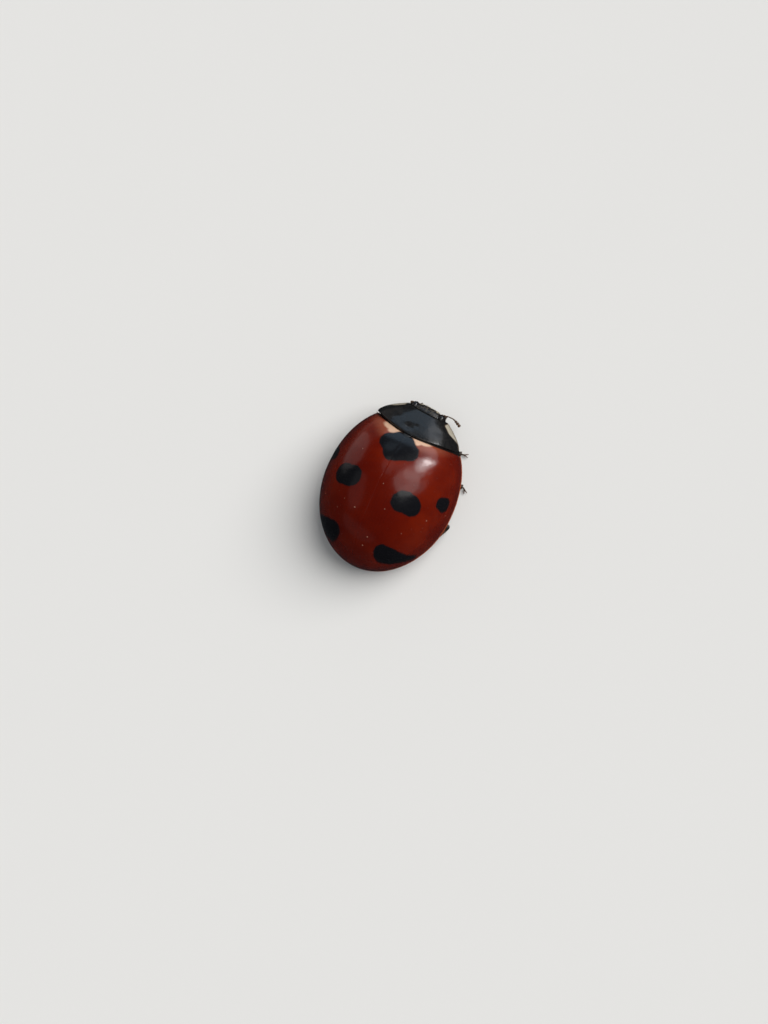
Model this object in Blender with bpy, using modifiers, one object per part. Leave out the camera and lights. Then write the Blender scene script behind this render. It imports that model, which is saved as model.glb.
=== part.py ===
"""Seven-spot ladybird (Coccinella septempunctata), life size, standing.

Head towards -Y, the animal's left towards +X, +Z up.  The six soles stand on
z = 0 and the origin is the middle of the footprint of the whole animal.
While it is modelled, the frame of the body is used: y = 0 where the wing
cases meet the scutellum, y = ELYTRA_LENGTH at their tip, z = 0 at the floor.
All sizes are in millimetres here and are scaled by MM.
"""
import bpy
import bmesh
import math
import numpy as np
from mathutils import Vector, Matrix

MM = 0.001

# ---- driving dimensions, in millimetres -------------------------------------
MARGIN_Z = 1.00          # side edge of the wing cases above the floor
HALF_WIDTH = 2.852       # half the greatest width, both wing cases closed
WIDEST_Y = 2.460         # where the wing cases are widest
ELYTRA_LENGTH = 5.908    # scutellum to tip
DOME_HEIGHT = 2.967      # crown of the wing cases above their side edge
CROWN_Y = 2.313          # where the dome is highest
FRONT_RUN = 3.760        # run of the plan curve in front of the widest place
FRONT_RISE = 3.59        # run of the profile curve in front of the crown
REAR_PLAN_EXP = 1.891
FRONT_PLAN_EXP = 2.30
REAR_PROFILE_EXP = 2.30
FRONT_PROFILE_EXP = 2.00
REAR_PROFILE_ROOT = 1.90
FRONT_PROFILE_ROOT = 1.20
SECTION_EXP = 2.131      # how square the dome is across
BASE_Y = -0.04           # where the wing cases begin on the middle line
SHOULDER_RUN = 0.31      # how far the shoulders reach in front of that
HEAD_TURN = math.radians(3.3)   # head and pronotum look a little to the animal's right
SHELL = 0.50             # thickness of wing cases and pronotum
GAP = 0.03               # clearance between neighbouring pieces
SUTURE = 0.015           # half the slot between the wing cases

PRONOTUM_FRONT_Y = -1.22     # middle of its front edge
PRONOTUM_CORNER_Y = -1.31    # front corners, beside the eyes
PRONOTUM_FRONT_HALF = 0.94
PRONOTUM_REAR_HALF = 1.96
PRONOTUM_FRONT_Z = 0.82      # above the margin plane
PRONOTUM_EDGE_Z = 0.10

HEAD_CENTRE = (0.0, -1.06, 1.10)
HEAD_RADII = (0.76, 0.50, 0.60)
HEAD_EXP = 2.7
EYE_CENTRE = (0.63, -1.26, 1.20)
EYE_RADII = (0.20, 0.255, 0.30)

# one antenna is held out to the side, the other down in front of the face
ANTENNAE = {
    "left": ((0.60, -1.48, 0.86), (0.86, -1.57, 0.68), (1.02, -1.55, 0.48)),
    "right": ((0.60, -1.48, 0.86), (0.90, -1.56, 0.80), (1.24, -1.50, 0.76)),
}
# joint centres of each leg on the animal's left: hip, knee, ankle, sole end
LEGS = {
    "front": ((0.42, -0.40, 0.58), (1.22, -1.02, 0.70), (1.62, -0.34, 0.27), (2.03, -0.39)),
    "mid": ((0.70, 0.85, 0.60), (2.12, 1.75, 0.70), (2.26, 0.92, 0.27), (2.60, 0.90)),
    "hind": ((0.62, 2.15, 0.60), (2.72, 2.74, 0.70), (2.15, 3.90, 0.27), (1.96, 4.43)),
}
LEG_R = 0.25             # half the thickness of the legs
SOLE_R = (0.27, 0.28)    # half width and half height of a foot
SOLE_Z = 0.24

# ---- scene ------------------------------------------------------------------
for old in list(bpy.data.objects):
    bpy.data.objects.remove(old, do_unlink=True)

parts = bpy.data.collections.new("ladybird")
bpy.context.scene.collection.children.link(parts)
cutters = bpy.data.collections.new("cutters")
bpy.context.scene.collection.children.link(cutters)


def material(name, rgb, rough, coat=0.0, metallic=0.0):
    m = bpy.data.materials.new(name)
    m.use_nodes = True
    b = m.node_tree.nodes["Principled BSDF"]
    b.inputs["Base Color"].default_value = (*rgb, 1.0)
    b.inputs["Roughness"].default_value = rough
    b.inputs["Metallic"].default_value = metallic
    b.inputs["Coat Weight"].default_value = coat
    m.diffuse_color = (*rgb, 1.0)
    return m


RED = material("elytra_red", (0.30, 0.020, 0.004), 0.30, 0.8)
BLACK = material("cuticle_black", (0.012, 0.012, 0.013), 0.32, 0.5)
DARK = material("leg_black", (0.020, 0.016, 0.013), 0.45)
BROWN = material("antenna_brown", (0.10, 0.045, 0.018), 0.5)
EYE = material("eye_black", (0.006, 0.006, 0.008), 0.18, 0.6)

root = bpy.data.objects.new("ladybird_root", None)
parts.objects.link(root)


# ---- outline functions ------------------------------------------------------
def half_width(y):
    """Half width of the closed wing cases at y."""
    y = np.asarray(y, float)
    a = np.clip((y - WIDEST_Y) / (ELYTRA_LENGTH - WIDEST_Y), 0, 1)
    b = np.clip((WIDEST_Y - y) / FRONT_RUN, 0, 1)
    return HALF_WIDTH * np.where(y > WIDEST_Y,
                                 np.sqrt(1 - a ** REAR_PLAN_EXP),
                                 np.sqrt(1 - b ** FRONT_PLAN_EXP))


def crown(y):
    """Height of the dome's middle line above the margin plane."""
    y = np.asarray(y, float)
    a = np.clip((y - CROWN_Y) / (ELYTRA_LENGTH - CROWN_Y), 0, 1)
    b = np.clip((CROWN_Y - y) / FRONT_RISE, 0, 1)
    return DOME_HEIGHT * np.where(y > CROWN_Y,
                                  (1 - a ** REAR_PROFILE_EXP) ** (1 / REAR_PROFILE_ROOT),
                                  (1 - b ** FRONT_PROFILE_EXP) ** (1 / FRONT_PROFILE_ROOT))


def inset_curve(fn, y0, y1, by, n=160):
    """The curve (y, fn(y)) moved inwards by a distance, as two arrays."""
    s = np.sin(np.linspace(0, math.pi / 2, n))
    ys = y0 + (y1 - y0) * s
    fs = fn(ys)
    ty, tf = np.gradient(ys), np.gradient(fs)
    length = np.hypot(ty, tf)
    ny, nf = -tf / length, ty / length
    yy, ff = ys - by * ny, fs - by * nf
    keep = np.concatenate([[True], np.diff(np.maximum.accumulate(yy)) > 1e-6])
    return yy[keep], np.maximum(ff[keep], 0.0)


def shoulder(q):
    """How far the base line of the wing cases bends forward at q of the half width."""
    return -SHOULDER_RUN * abs(q) ** 1.3


def turned(p):
    """A point of the head or prothorax, turned with them about the scutellum."""
    c, s = math.cos(HEAD_TURN), math.sin(HEAD_TURN)
    return (p[0] * c + p[1] * s, -p[0] * s + p[1] * c, p[2])


# ---- shape helpers ----------------------------------------------------------
def finish(name, bm, mat, collection=parts, smooth=40):
    bmesh.ops.recalc_face_normals(bm, faces=bm.faces[:])
    mesh = bpy.data.meshes.new(name)
    bm.to_mesh(mesh)
    bm.free()
    obj = bpy.data.objects.new(name, mesh)
    collection.objects.link(obj)
    if mat:
        mesh.materials.append(mat)
    mesh.shade_smooth()
    mesh.set_sharp_from_angle(angle=math.radians(smooth))
    obj.parent = root
    if collection is cutters:
        obj.hide_render = True
        obj.display_type = "WIRE"
    return obj


def surface(name, nu, nv, fn, mat, thickness):
    """An open sheet bent over a function of (u, v), thickened inwards."""
    bm = bmesh.new()
    bmesh.ops.create_grid(bm, x_segments=nu, y_segments=nv, size=0.5)
    for v in bm.verts:
        v.co = Vector(fn(v.co.x + 0.5, v.co.y + 0.5)) * MM
    obj = finish(name, bm, mat)
    up = sum((p.normal.z * p.area for p in obj.data.polygons))
    if up < 0:
        obj.data.flip_normals()
    s = obj.modifiers.new("shell", "SOLIDIFY")
    s.thickness = thickness * MM
    s.offset = -1
    s.use_even_offset = False
    s.use_rim = True
    return obj


def loft(name, rings, mat, collection=parts):
    """Skin a list of rings with the same number of points and close its ends."""
    bm = bmesh.new()
    rows = [[bm.verts.new(Vector(p) * MM) for p in ring] for ring in rings]
    n = len(rows[0])
    for a, b in zip(rows, rows[1:]):
        for i in range(n):
            bm.faces.new((a[i], a[(i + 1) % n], b[(i + 1) % n], b[i]))
    for row in (rows[0][::-1], rows[-1]):
        if n <= 8:
            bm.faces.new(row)
        else:
            hub = bm.verts.new(sum((v.co for v in row), Vector()) / n)
            for i in range(n):
                bm.faces.new((row[i], row[(i + 1) % n], hub))
    return finish(name, bm, mat, collection)


def limb(name, path, radii, mat, collection=parts, grow=0.0, n=8, sole=False, flat=1.0):
    """A rounded rod along a path; radii are half thicknesses at its points."""
    pts = [Vector(p) for p in path]
    rings = []
    first, last = (pts[1] - pts[0]).normalized(), (pts[-1] - pts[-2]).normalized()
    stations = []
    r0, r1 = radii[0] + grow, radii[-1] + grow
    for k in (80, 50, 22):
        a = math.radians(k)
        stations.append((pts[0] - first * r0 * math.sin(a), r0 * math.cos(a), first))
    for i, p in enumerate(pts):
        if i == 0:
            d = first
        elif i == len(pts) - 1:
            d = last
        else:
            d = ((pts[i + 1] - p).normalized() + (p - pts[i - 1]).normalized()).normalized()
        stations.append((p, radii[i] + grow, d))
    for k in (22, 50, 80):
        a = math.radians(k)
        stations.append((pts[-1] + last * r1 * math.sin(a), r1 * math.cos(a), last))
    for c, r, d in stations:
        side = d.cross(Vector((0, 0, 1))).normalized()
        up = side.cross(d).normalized()
        rings.append([c + side * r * math.cos(2 * math.pi * (i + 0.5) / n)
                      + up * r * flat * math.sin(2 * math.pi * (i + 0.5) / n) for i in range(n)])
    obj = loft(name, rings, mat, collection)
    if sole:
        bm = bmesh.new()
        bm.from_mesh(obj.data)
        geom = bm.verts[:] + bm.edges[:] + bm.faces[:]
        cut = bmesh.ops.bisect_plane(bm, geom=geom, dist=1e-9, plane_co=(0, 0, 0),
                                     plane_no=(0, 0, -1), clear_outer=True)
        edges = [e for e in cut["geom_cut"] if isinstance(e, bmesh.types.BMEdge)]
        bmesh.ops.holes_fill(bm, edges=edges, sides=0)
        for v in bm.verts:
            if abs(v.co.z) < 1e-8:
                v.co.z = 0.0
        bmesh.ops.recalc_face_normals(bm, faces=bm.faces[:])
        bm.to_mesh(obj.data)
        bm.free()
    return obj


def ovoid(name, centre, radii, mat, collection=parts, grow=0.0, exp=2.0, segs=(20, 12), tilt=0.0):
    """A sphere primitive drawn out to three radii, squared off by exp, in the
    frame of the turned head."""
    bm = bmesh.new()
    bmesh.ops.create_uvsphere(bm, u_segments=segs[0], v_segments=segs[1], radius=1.0)
    turn = Matrix.Rotation(tilt, 3, "X")
    for v in bm.verts:
        k = sum(abs(c) ** exp for c in v.co) ** (-1 / exp)
        p = Vector((v.co[i] * k * (radii[i] + grow) for i in range(3)))
        v.co = Vector(turned(turn @ p + Vector(centre))) * MM
    return finish(name, bm, mat, collection)


def cut(obj, *tools):
    for t in tools:
        m = obj.modifiers.new("cut_" + t.name, "BOOLEAN")
        m.operation = "DIFFERENCE"
        m.solver = "EXACT"
        m.object = t


# ---- wing cases -------------------------------------------------------------
def elytron_point(u, v, side):
    """u: suture to side edge, v: base to tip."""
    q = math.sin(u * math.pi / 2)
    along = math.sin(v * math.pi / 2) * 0.72 + v * 0.28
    y_base = BASE_Y + shoulder(q) - side * PRONOTUM_REAR_HALF * q * math.tan(HEAD_TURN)
    y_tip = ELYTRA_LENGTH - 0.012 + 0.010 * q ** 2.2
    y = y_base + (y_tip - y_base) * along
    x = half_width(y) * q
    z = crown(y) * (1 - q ** SECTION_EXP) ** 0.5 if q < 1 else 0.0
    return (side * x, y, MARGIN_Z + float(z))


def prism(name, outline, z0, z1):
    return loft(name, [[(x, y, z) for x, y in outline] for z in (z0, z1)], None, cutters)


# the scutellum's plan, and the same plan with clearance round it
SCUTELLUM = ((0.20, BASE_Y), (0.0, BASE_Y + 0.35), (-0.20, BASE_Y))
top = MARGIN_Z + float(crown(BASE_Y))
base_notch = prism("base_notch", ((0.35, BASE_Y - 0.2), (0.0, BASE_Y + 0.41), (-0.35, BASE_Y - 0.2)), top - 0.45, 4.5)
rear_notch = prism("rear_notch", ((0.33, BASE_Y - GAP), (0.33, 0.5), (-0.33, 0.5), (-0.33, BASE_Y - GAP)), 1.5, 4.5)
for side, word in ((1, "left"), (-1, "right")):
    e = surface("elytron_" + word, 12, 20, lambda u, v: elytron_point(u, v, side), RED, SHELL)
    slot = prism("suture_side_" + word, [(side * x, y) for x, y in ((SUTURE, -1.0), (SUTURE, 6.2), (-1.0, 6.2), (-1.0, -1.0))],
                 0.5, 4.5)
    cut(e, slot, base_notch)

# scutellum: a small three-sided plate between the bases of the wing cases
loft("scutellum", [[(x, y, top + dz + 0.86 * (y - BASE_Y)) for x, y in SCUTELLUM] for dz in (-0.40, -0.01)], BLACK)


# ---- pronotum ---------------------------------------------------------------
def pronotum_half(t):
    return PRONOTUM_FRONT_HALF + (PRONOTUM_REAR_HALF - PRONOTUM_FRONT_HALF) * (1 - (1 - t) ** 1.65)


def pronotum_point(u, t, lift=0.0):
    q = math.sin((2 * u - 1) * math.pi / 2)
    a = abs(q)
    x = pronotum_half(t) * q
    y_front = PRONOTUM_FRONT_Y + (PRONOTUM_CORNER_Y - PRONOTUM_FRONT_Y) * a ** 2.0
    y_rear = BASE_Y - 1.7 * GAP + shoulder(a)
    y = y_front + (y_rear - y_front) * t
    z_rear = PRONOTUM_EDGE_Z + (float(crown(BASE_Y - GAP)) - PRONOTUM_EDGE_Z) * (1 - a ** SECTION_EXP) ** 0.5
    z_front = PRONOTUM_EDGE_Z + (PRONOTUM_FRONT_Z - PRONOTUM_EDGE_Z) * (1 - a ** 2.4) ** 0.6
    z = z_front + (z_rear - z_front) * t * (1 + 0.16 * (1 - t))
    return turned((x, y, MARGIN_Z + z))


pronotum = surface("pronotum", 16, 7, pronotum_point, BLACK, SHELL)

# ---- head -------------------------------------------------------------------
head = ovoid("head", HEAD_CENTRE, HEAD_RADII, BLACK, exp=HEAD_EXP, segs=(18, 12))
head_cutter = ovoid("head_cutter", HEAD_CENTRE, HEAD_RADII, None, cutters, grow=GAP, exp=HEAD_EXP, segs=(18, 12))
eye_cutters = []
for side, word in ((1, "left"), (-1, "right")):
    c = (EYE_CENTRE[0] * side, *EYE_CENTRE[1:])
    ovoid("eye_" + word, c, EYE_RADII, EYE, segs=(14, 10))
    eye_cutters.append(ovoid("eye_cutter_" + word, c, EYE_RADII, None, cutters, grow=GAP, segs=(14, 10)))
cut(head, *eye_cutters)
cut(pronotum, head_cutter, *eye_cutters, rear_notch)

mouth = ovoid("mouthparts", (0, -1.34, 0.50), (0.27, 0.19, 0.20), BROWN, exp=2.6, segs=(12, 8))
cut(mouth, head_cutter)
for side, word in ((1, "left"), (-1, "right")):
    palp = limb("palp_" + word, [turned(p) for p in ((side * 0.50, -1.20, 0.50), (side * 0.52, -1.34, 0.42), (side * 0.53, -1.42, 0.32))],
                (0.19, 0.205, 0.205), BROWN, n=8)
    cut(palp, head_cutter)
    ant = limb("antenna_" + word, [turned((side * x, y, z)) for x, y, z in ANTENNAE[word]], (0.20, 0.225, 0.235), BROWN, n=8)
    cut(ant, head_cutter, *eye_cutters)

# ---- legs -------------------------------------------------------------------
femur_cutters = {}
for pair, (hip, knee, ankle, toe) in LEGS.items():
    for side, word in ((1, "left"), (-1, "right")):
        h, k, a = ((side * p[0], p[1], p[2]) for p in (hip, knee, ankle))
        if pair == "front":
            h, k = turned(h), turned(k)
        t = (side * toe[0], toe[1], SOLE_Z)
        mid = tuple((h[i] + k[i]) / 2 for i in range(3))
        label = "leg_%s_%s_" % (pair, word)
        limb(label + "femur", (h, mid, k), (LEG_R - 0.01, LEG_R + 0.02, LEG_R), DARK)
        fc = limb(label + "femur_cutter", (h, mid, k), (LEG_R - 0.01, LEG_R + 0.02, LEG_R), None, cutters, grow=GAP)
        femur_cutters[pair, word] = fc
        tibia = limb(label + "tibia", (k, a), (LEG_R - 0.01, LEG_R - 0.005), DARK)
        cut(tibia, fc)
        tc = limb(label + "tibia_cutter", (k, a), (LEG_R - 0.01, LEG_R - 0.005), None, cutters, grow=GAP)
        start = (a[0], a[1], SOLE_Z)
        foot = limb(label + "tarsus", (start, tuple((start[i] + t[i]) / 2 for i in range(3)), t),
                    (0.19, SOLE_R[0], SOLE_R[0]), DARK,
                    sole=True, flat=SOLE_R[1] / SOLE_R[0])
        cut(foot, tc)

# ---- trunk ------------------------------------------------------------------
yh, hh = inset_curve(crown, -1.0, ELYTRA_LENGTH, SHELL + 0.06)
yw, ww = inset_curve(half_width, -1.0, ELYTRA_LENGTH, SHELL + 0.06)


def belly(y):
    """Underside of the trunk on the middle line."""
    return float(np.interp(y, (-1.2, 0.0, 1.2, 2.3, 4.0, 5.25), (0.70, 0.64, 0.58, 0.60, 0.70, 0.90)))


def ring(y, half, top, low, side_z, n=24, bend=0.0, skew=0.0):
    """A closed section, a dome over a shallow belly.  half and top are
    functions of y, so that a section bent forwards at its sides narrows too."""
    out = []
    for i in range(n):
        a = 2 * math.pi * (i + 0.5) / n
        c, s = math.cos(a), math.sin(a)
        q = abs(c) ** (2 / SECTION_EXP)
        yy = y + bend * (shoulder(q) + skew * half(y) * math.copysign(q, c))
        x = half(yy) * math.copysign(q, c)
        z = side_z + ((top(yy) - side_z) * abs(s) if s > 0 else -(side_z - low) * abs(s) ** 0.8)
        out.append((x, yy, z))
    return out


def trunk(name, y0, y1, n, mat, bend=0.0, ease=False):
    half = lambda y: float(np.interp(y, yw, ww))
    peak = lambda y: MARGIN_Z + float(np.interp(y, yh, hh))
    rings = []
    for i in range(n + 1):
        t = i / n
        if ease:
            t = math.sin(t * math.pi / 2)
        y = y0 + (y1 - y0) * t
        rings.append(ring(y, half, peak, belly(y), MARGIN_Z - 0.02, bend=bend * (1 - i / n) ** 2,
                          skew=-math.tan(HEAD_TURN)))
    return loft(name, rings, mat)


thorax = trunk("thorax", 0.04, 2.38, 8, BLACK, bend=1.0)
abdomen = trunk("abdomen", 2.38 + GAP, 5.31, 10, BLACK, ease=True)

rings = []
for i in range(7):
    t = 0.42 + 0.58 * i / 6
    x, y, z = pronotum_point(0.5, t)
    wide, high = pronotum_half(t) - SHELL - 0.17, max(z - 0.87, MARGIN_Z + 0.12)
    rings.append(ring(y - 0.05 * i / 6, lambda _: wide, lambda _: high, belly(y), MARGIN_Z + 0.05, n=20, bend=i / 6))
prosternum = loft("prosternum", [[turned(p) for p in r] for r in rings], BLACK)
cut(head, femur_cutters["front", "left"], femur_cutters["front", "right"])
cut(prosternum, head_cutter, *eye_cutters, femur_cutters["front", "left"], femur_cutters["front", "right"])
cut(thorax, *[femur_cutters[p, w] for p in ("mid", "hind") for w in ("left", "right")])
cut(abdomen, *[femur_cutters["hind", w] for w in ("left", "right")])

# ---- stand the animal on the middle of its footprint -------------------------
bpy.context.view_layer.update()
graph = bpy.context.evaluated_depsgraph_get()
lo, hi = [1e9] * 3, [-1e9] * 3
for obj in parts.objects:
    if obj.type != "MESH":
        continue
    shape = obj.evaluated_get(graph)
    for corner in shape.data.vertices:
        for i in range(3):
            lo[i] = min(lo[i], corner.co[i])
            hi[i] = max(hi[i], corner.co[i])
root.location = (-(lo[0] + hi[0]) / 2, -(lo[1] + hi[1]) / 2, 0.0)
bpy.context.view_layer.update()
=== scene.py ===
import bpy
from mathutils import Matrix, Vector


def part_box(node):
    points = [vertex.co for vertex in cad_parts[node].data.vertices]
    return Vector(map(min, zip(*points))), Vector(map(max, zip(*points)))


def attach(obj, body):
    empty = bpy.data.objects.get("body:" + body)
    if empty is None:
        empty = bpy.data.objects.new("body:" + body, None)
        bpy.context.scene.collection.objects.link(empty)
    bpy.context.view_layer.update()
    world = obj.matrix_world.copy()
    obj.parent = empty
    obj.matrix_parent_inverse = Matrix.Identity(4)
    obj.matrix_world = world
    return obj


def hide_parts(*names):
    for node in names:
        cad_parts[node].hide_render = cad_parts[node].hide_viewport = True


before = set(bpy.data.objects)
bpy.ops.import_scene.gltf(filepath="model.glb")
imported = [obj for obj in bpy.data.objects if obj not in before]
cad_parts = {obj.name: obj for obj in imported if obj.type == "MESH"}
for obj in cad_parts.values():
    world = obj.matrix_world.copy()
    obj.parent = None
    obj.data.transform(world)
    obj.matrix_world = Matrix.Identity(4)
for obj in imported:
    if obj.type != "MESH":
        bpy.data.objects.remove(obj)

"""Looks of the seven-spot ladybird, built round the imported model.

Shapes are worked out in millimetres in the frame of the body (y = 0 where the
wing cases meet the scutellum, z = 0 at the floor) and written in metres.
"""
import math
import bpy
import bmesh
import numpy as np
from mathutils import Vector, Matrix

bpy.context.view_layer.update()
rng = np.random.default_rng(7)
pi = math.pi

# ---- the same driving sizes as the solids, in millimetres --------------------
MM = 0.001
MARGIN_Z = 1.00
HALF_WIDTH, WIDEST_Y, ELYTRA_LENGTH = 2.852, 2.460, 5.908
DOME_HEIGHT, CROWN_Y = 2.967, 2.313
FRONT_RUN, FRONT_RISE = 3.760, 3.59
REAR_PLAN_EXP, FRONT_PLAN_EXP = 1.891, 2.30
REAR_PROFILE_EXP, FRONT_PROFILE_EXP = 2.30, 2.00
REAR_PROFILE_ROOT, FRONT_PROFILE_ROOT = 1.90, 1.20
SECTION_EXP = 2.131
BASE_Y, SHOULDER_RUN = -0.04, 0.31
HEAD_TURN = math.radians(3.3)
PRONOTUM_FRONT_Y, PRONOTUM_CORNER_Y = -1.22, -1.31
PRONOTUM_FRONT_HALF, PRONOTUM_REAR_HALF = 0.94, 1.96
PRONOTUM_FRONT_Z, PRONOTUM_EDGE_Z = 0.82, 0.10
HEAD_CENTRE, HEAD_RADII, HEAD_EXP = (0.0, -1.06, 1.10), (0.76, 0.50, 0.60), 2.7
EYE_CENTRE, EYE_RADII = (0.63, -1.26, 1.20), (0.20, 0.255, 0.30)
LEGS = {
    "front": ((0.42, -0.40, 0.58), (1.22, -1.02, 0.70), (1.62, -0.34, 0.27), (2.03, -0.39)),
    "mid": ((0.70, 0.85, 0.60), (2.12, 1.75, 0.70), (2.26, 0.92, 0.27), (2.60, 0.90)),
    "hind": ((0.62, 2.15, 0.60), (2.72, 2.74, 0.70), (2.15, 3.90, 0.27), (1.96, 4.43)),
}
OFFSET_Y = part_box("elytron_left")[1].y / MM - (ELYTRA_LENGTH - 0.002)


# ---- outline functions --------------------------------------------------------
def half_width(y):
    a = np.clip((y - WIDEST_Y) / (ELYTRA_LENGTH - WIDEST_Y), 0, 1)
    b = np.clip((WIDEST_Y - y) / FRONT_RUN, 0, 1)
    return HALF_WIDTH * np.where(y > WIDEST_Y, np.sqrt(1 - a ** REAR_PLAN_EXP), np.sqrt(1 - b ** FRONT_PLAN_EXP))


def crown(y):
    a = np.clip((y - CROWN_Y) / (ELYTRA_LENGTH - CROWN_Y), 0, 1)
    b = np.clip((CROWN_Y - y) / FRONT_RISE, 0, 1)
    return DOME_HEIGHT * np.where(y > CROWN_Y, (1 - a ** REAR_PROFILE_EXP) ** (1 / REAR_PROFILE_ROOT),
                                  (1 - b ** FRONT_PROFILE_EXP) ** (1 / FRONT_PROFILE_ROOT))


def shoulder(q):
    return -SHOULDER_RUN * np.abs(q) ** 1.3


def turned(p):
    """Points of the head or prothorax, turned with them about the scutellum."""
    p = np.asarray(p, float)
    c, s = math.cos(HEAD_TURN), math.sin(HEAD_TURN)
    return np.stack([p[..., 0] * c + p[..., 1] * s, -p[..., 0] * s + p[..., 1] * c, p[..., 2]], -1)


def smooth(a, b, x):
    t = np.clip((x - a) / (b - a), 0, 1)
    return t * t * (3 - 2 * t)


def unit(v):
    v = np.asarray(v, float)
    return v / np.maximum(np.linalg.norm(v, axis=-1, keepdims=True), 1e-9)


_lattice = rng.random((32, 32, 32))


def noise(p, scale, shift=0.0):
    """Smooth value noise, -1 to 1, of points in millimetres; scale is in cycles per mm."""
    p = np.asarray(p, float) * scale + shift + 100.0
    i = np.floor(p).astype(int)
    f = p - i
    f = f * f * (3 - 2 * f)
    out = 0.0
    for dx in (0, 1):
        for dy in (0, 1):
            for dz in (0, 1):
                w = (np.where(dx, f[..., 0], 1 - f[..., 0]) * np.where(dy, f[..., 1], 1 - f[..., 1])
                     * np.where(dz, f[..., 2], 1 - f[..., 2]))
                out = out + w * _lattice[(i[..., 0] + dx) % 32, (i[..., 1] + dy) % 32, (i[..., 2] + dz) % 32]
    return out * 2 - 1


# ---- mesh helpers -------------------------------------------------------------
GRIDS = {}      # the faces of each lofted skin, with its rings, points and kind of end
SPIKE_MAP = np.array([(0, .12), (1 / 3, .12), (1 / 3, .55), (0, .55), (1 / 3, .12), (2 / 3, .12), (2 / 3, .55), (1 / 3, .55),
                      (2 / 3, .12), (1, .12), (1, .55), (2 / 3, .55), (0, .55), (1 / 3, .55), (1 / 6, 1), (1 / 3, .55),
                      (2 / 3, .55), (1 / 2, 1), (2 / 3, .55), (1, .55), (5 / 6, 1), (2 / 3, .08), (1 / 3, .08), (1 / 2, 0)])


def unrolled(verts, r, n, fan):
    """Map of a lofted skin in mm, a pair for each corner of each face: its rings rolled out one above the other."""
    p = verts[:r * n].reshape(r, n, 3)
    loop = np.concatenate([p, p[:, :1]], 1)
    s = np.concatenate([np.zeros((r, 1)), np.cumsum(np.linalg.norm(np.diff(loop, axis=1), axis=2), axis=1)], 1)
    even = np.arange(n + 1) / n
    total = s[:, -1:]
    share = np.where(total > 1e-5, s / np.maximum(total, 1e-5), even) * 0.98 + even * 0.02
    wide = total.max()
    u = wide / 2 + (share - 0.5) * np.maximum(total, 0.12 * wide)
    rise = np.maximum(np.linalg.norm(np.diff(p, axis=0), axis=2).mean(1), 1e-3 * wide)
    v = np.concatenate([[0], np.cumsum(rise)])
    vv = np.broadcast_to(v[:, None], u.shape)
    g = np.stack([u, vv], -1)
    out = [np.stack([g[:-1, :-1], g[:-1, 1:], g[1:, 1:], g[1:, :-1]], 2).reshape(-1, 2)]
    j = np.arange(n)
    for k, (row, sign) in enumerate(((0, -1.0), (r - 1, 1.0))):
        if fan:
            reach = max(np.linalg.norm(p[row] - p[row].mean(0), axis=1).mean(), 2e-3 * wide) * sign
            a, b = (j, j + 1) if k else (np.append(n - 1 - j[:-1], n), np.append(n - 2 - j[:-1], n - 1))
            hub = np.stack([(u[row][a] + u[row][b]) / 2, np.full(n, v[row] + reach)], -1)
            out.append(np.stack([g[row][a], g[row][b], hub], 1).reshape(-1, 2))
        else:
            order = j if k else j[::-1]
            out.append(np.stack([u[row][order], v[row] + sign * wide * (0.004 + 0.04 * np.sin(pi * (order + 0.5) / n))], -1))
    out = np.concatenate(out) * (-1, 1)
    return out - out.min(0)


def on_shelves(sizes, room, gap=0.004):
    """Places rectangles in rows across a unit width, as large as the height allows."""
    order = sorted(range(len(sizes)), key=lambda i: -sizes[i][1])
    scale = (1 - gap) / max(w for w, h in sizes)
    while True:
        x = y = shelf = 0.0
        places = {}
        for i in order:
            w, h = sizes[i][0] * scale + gap, sizes[i][1] * scale + gap
            if x + w > 1.0 + 1e-9:
                x, y, shelf = 0.0, y + shelf, 0.0
            places[i] = (x, y)
            x, shelf = x + w, max(shelf, h)
        if y + shelf <= room:
            return scale, places, min(room / (y + shelf), 3.0)
        scale *= 0.97


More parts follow.
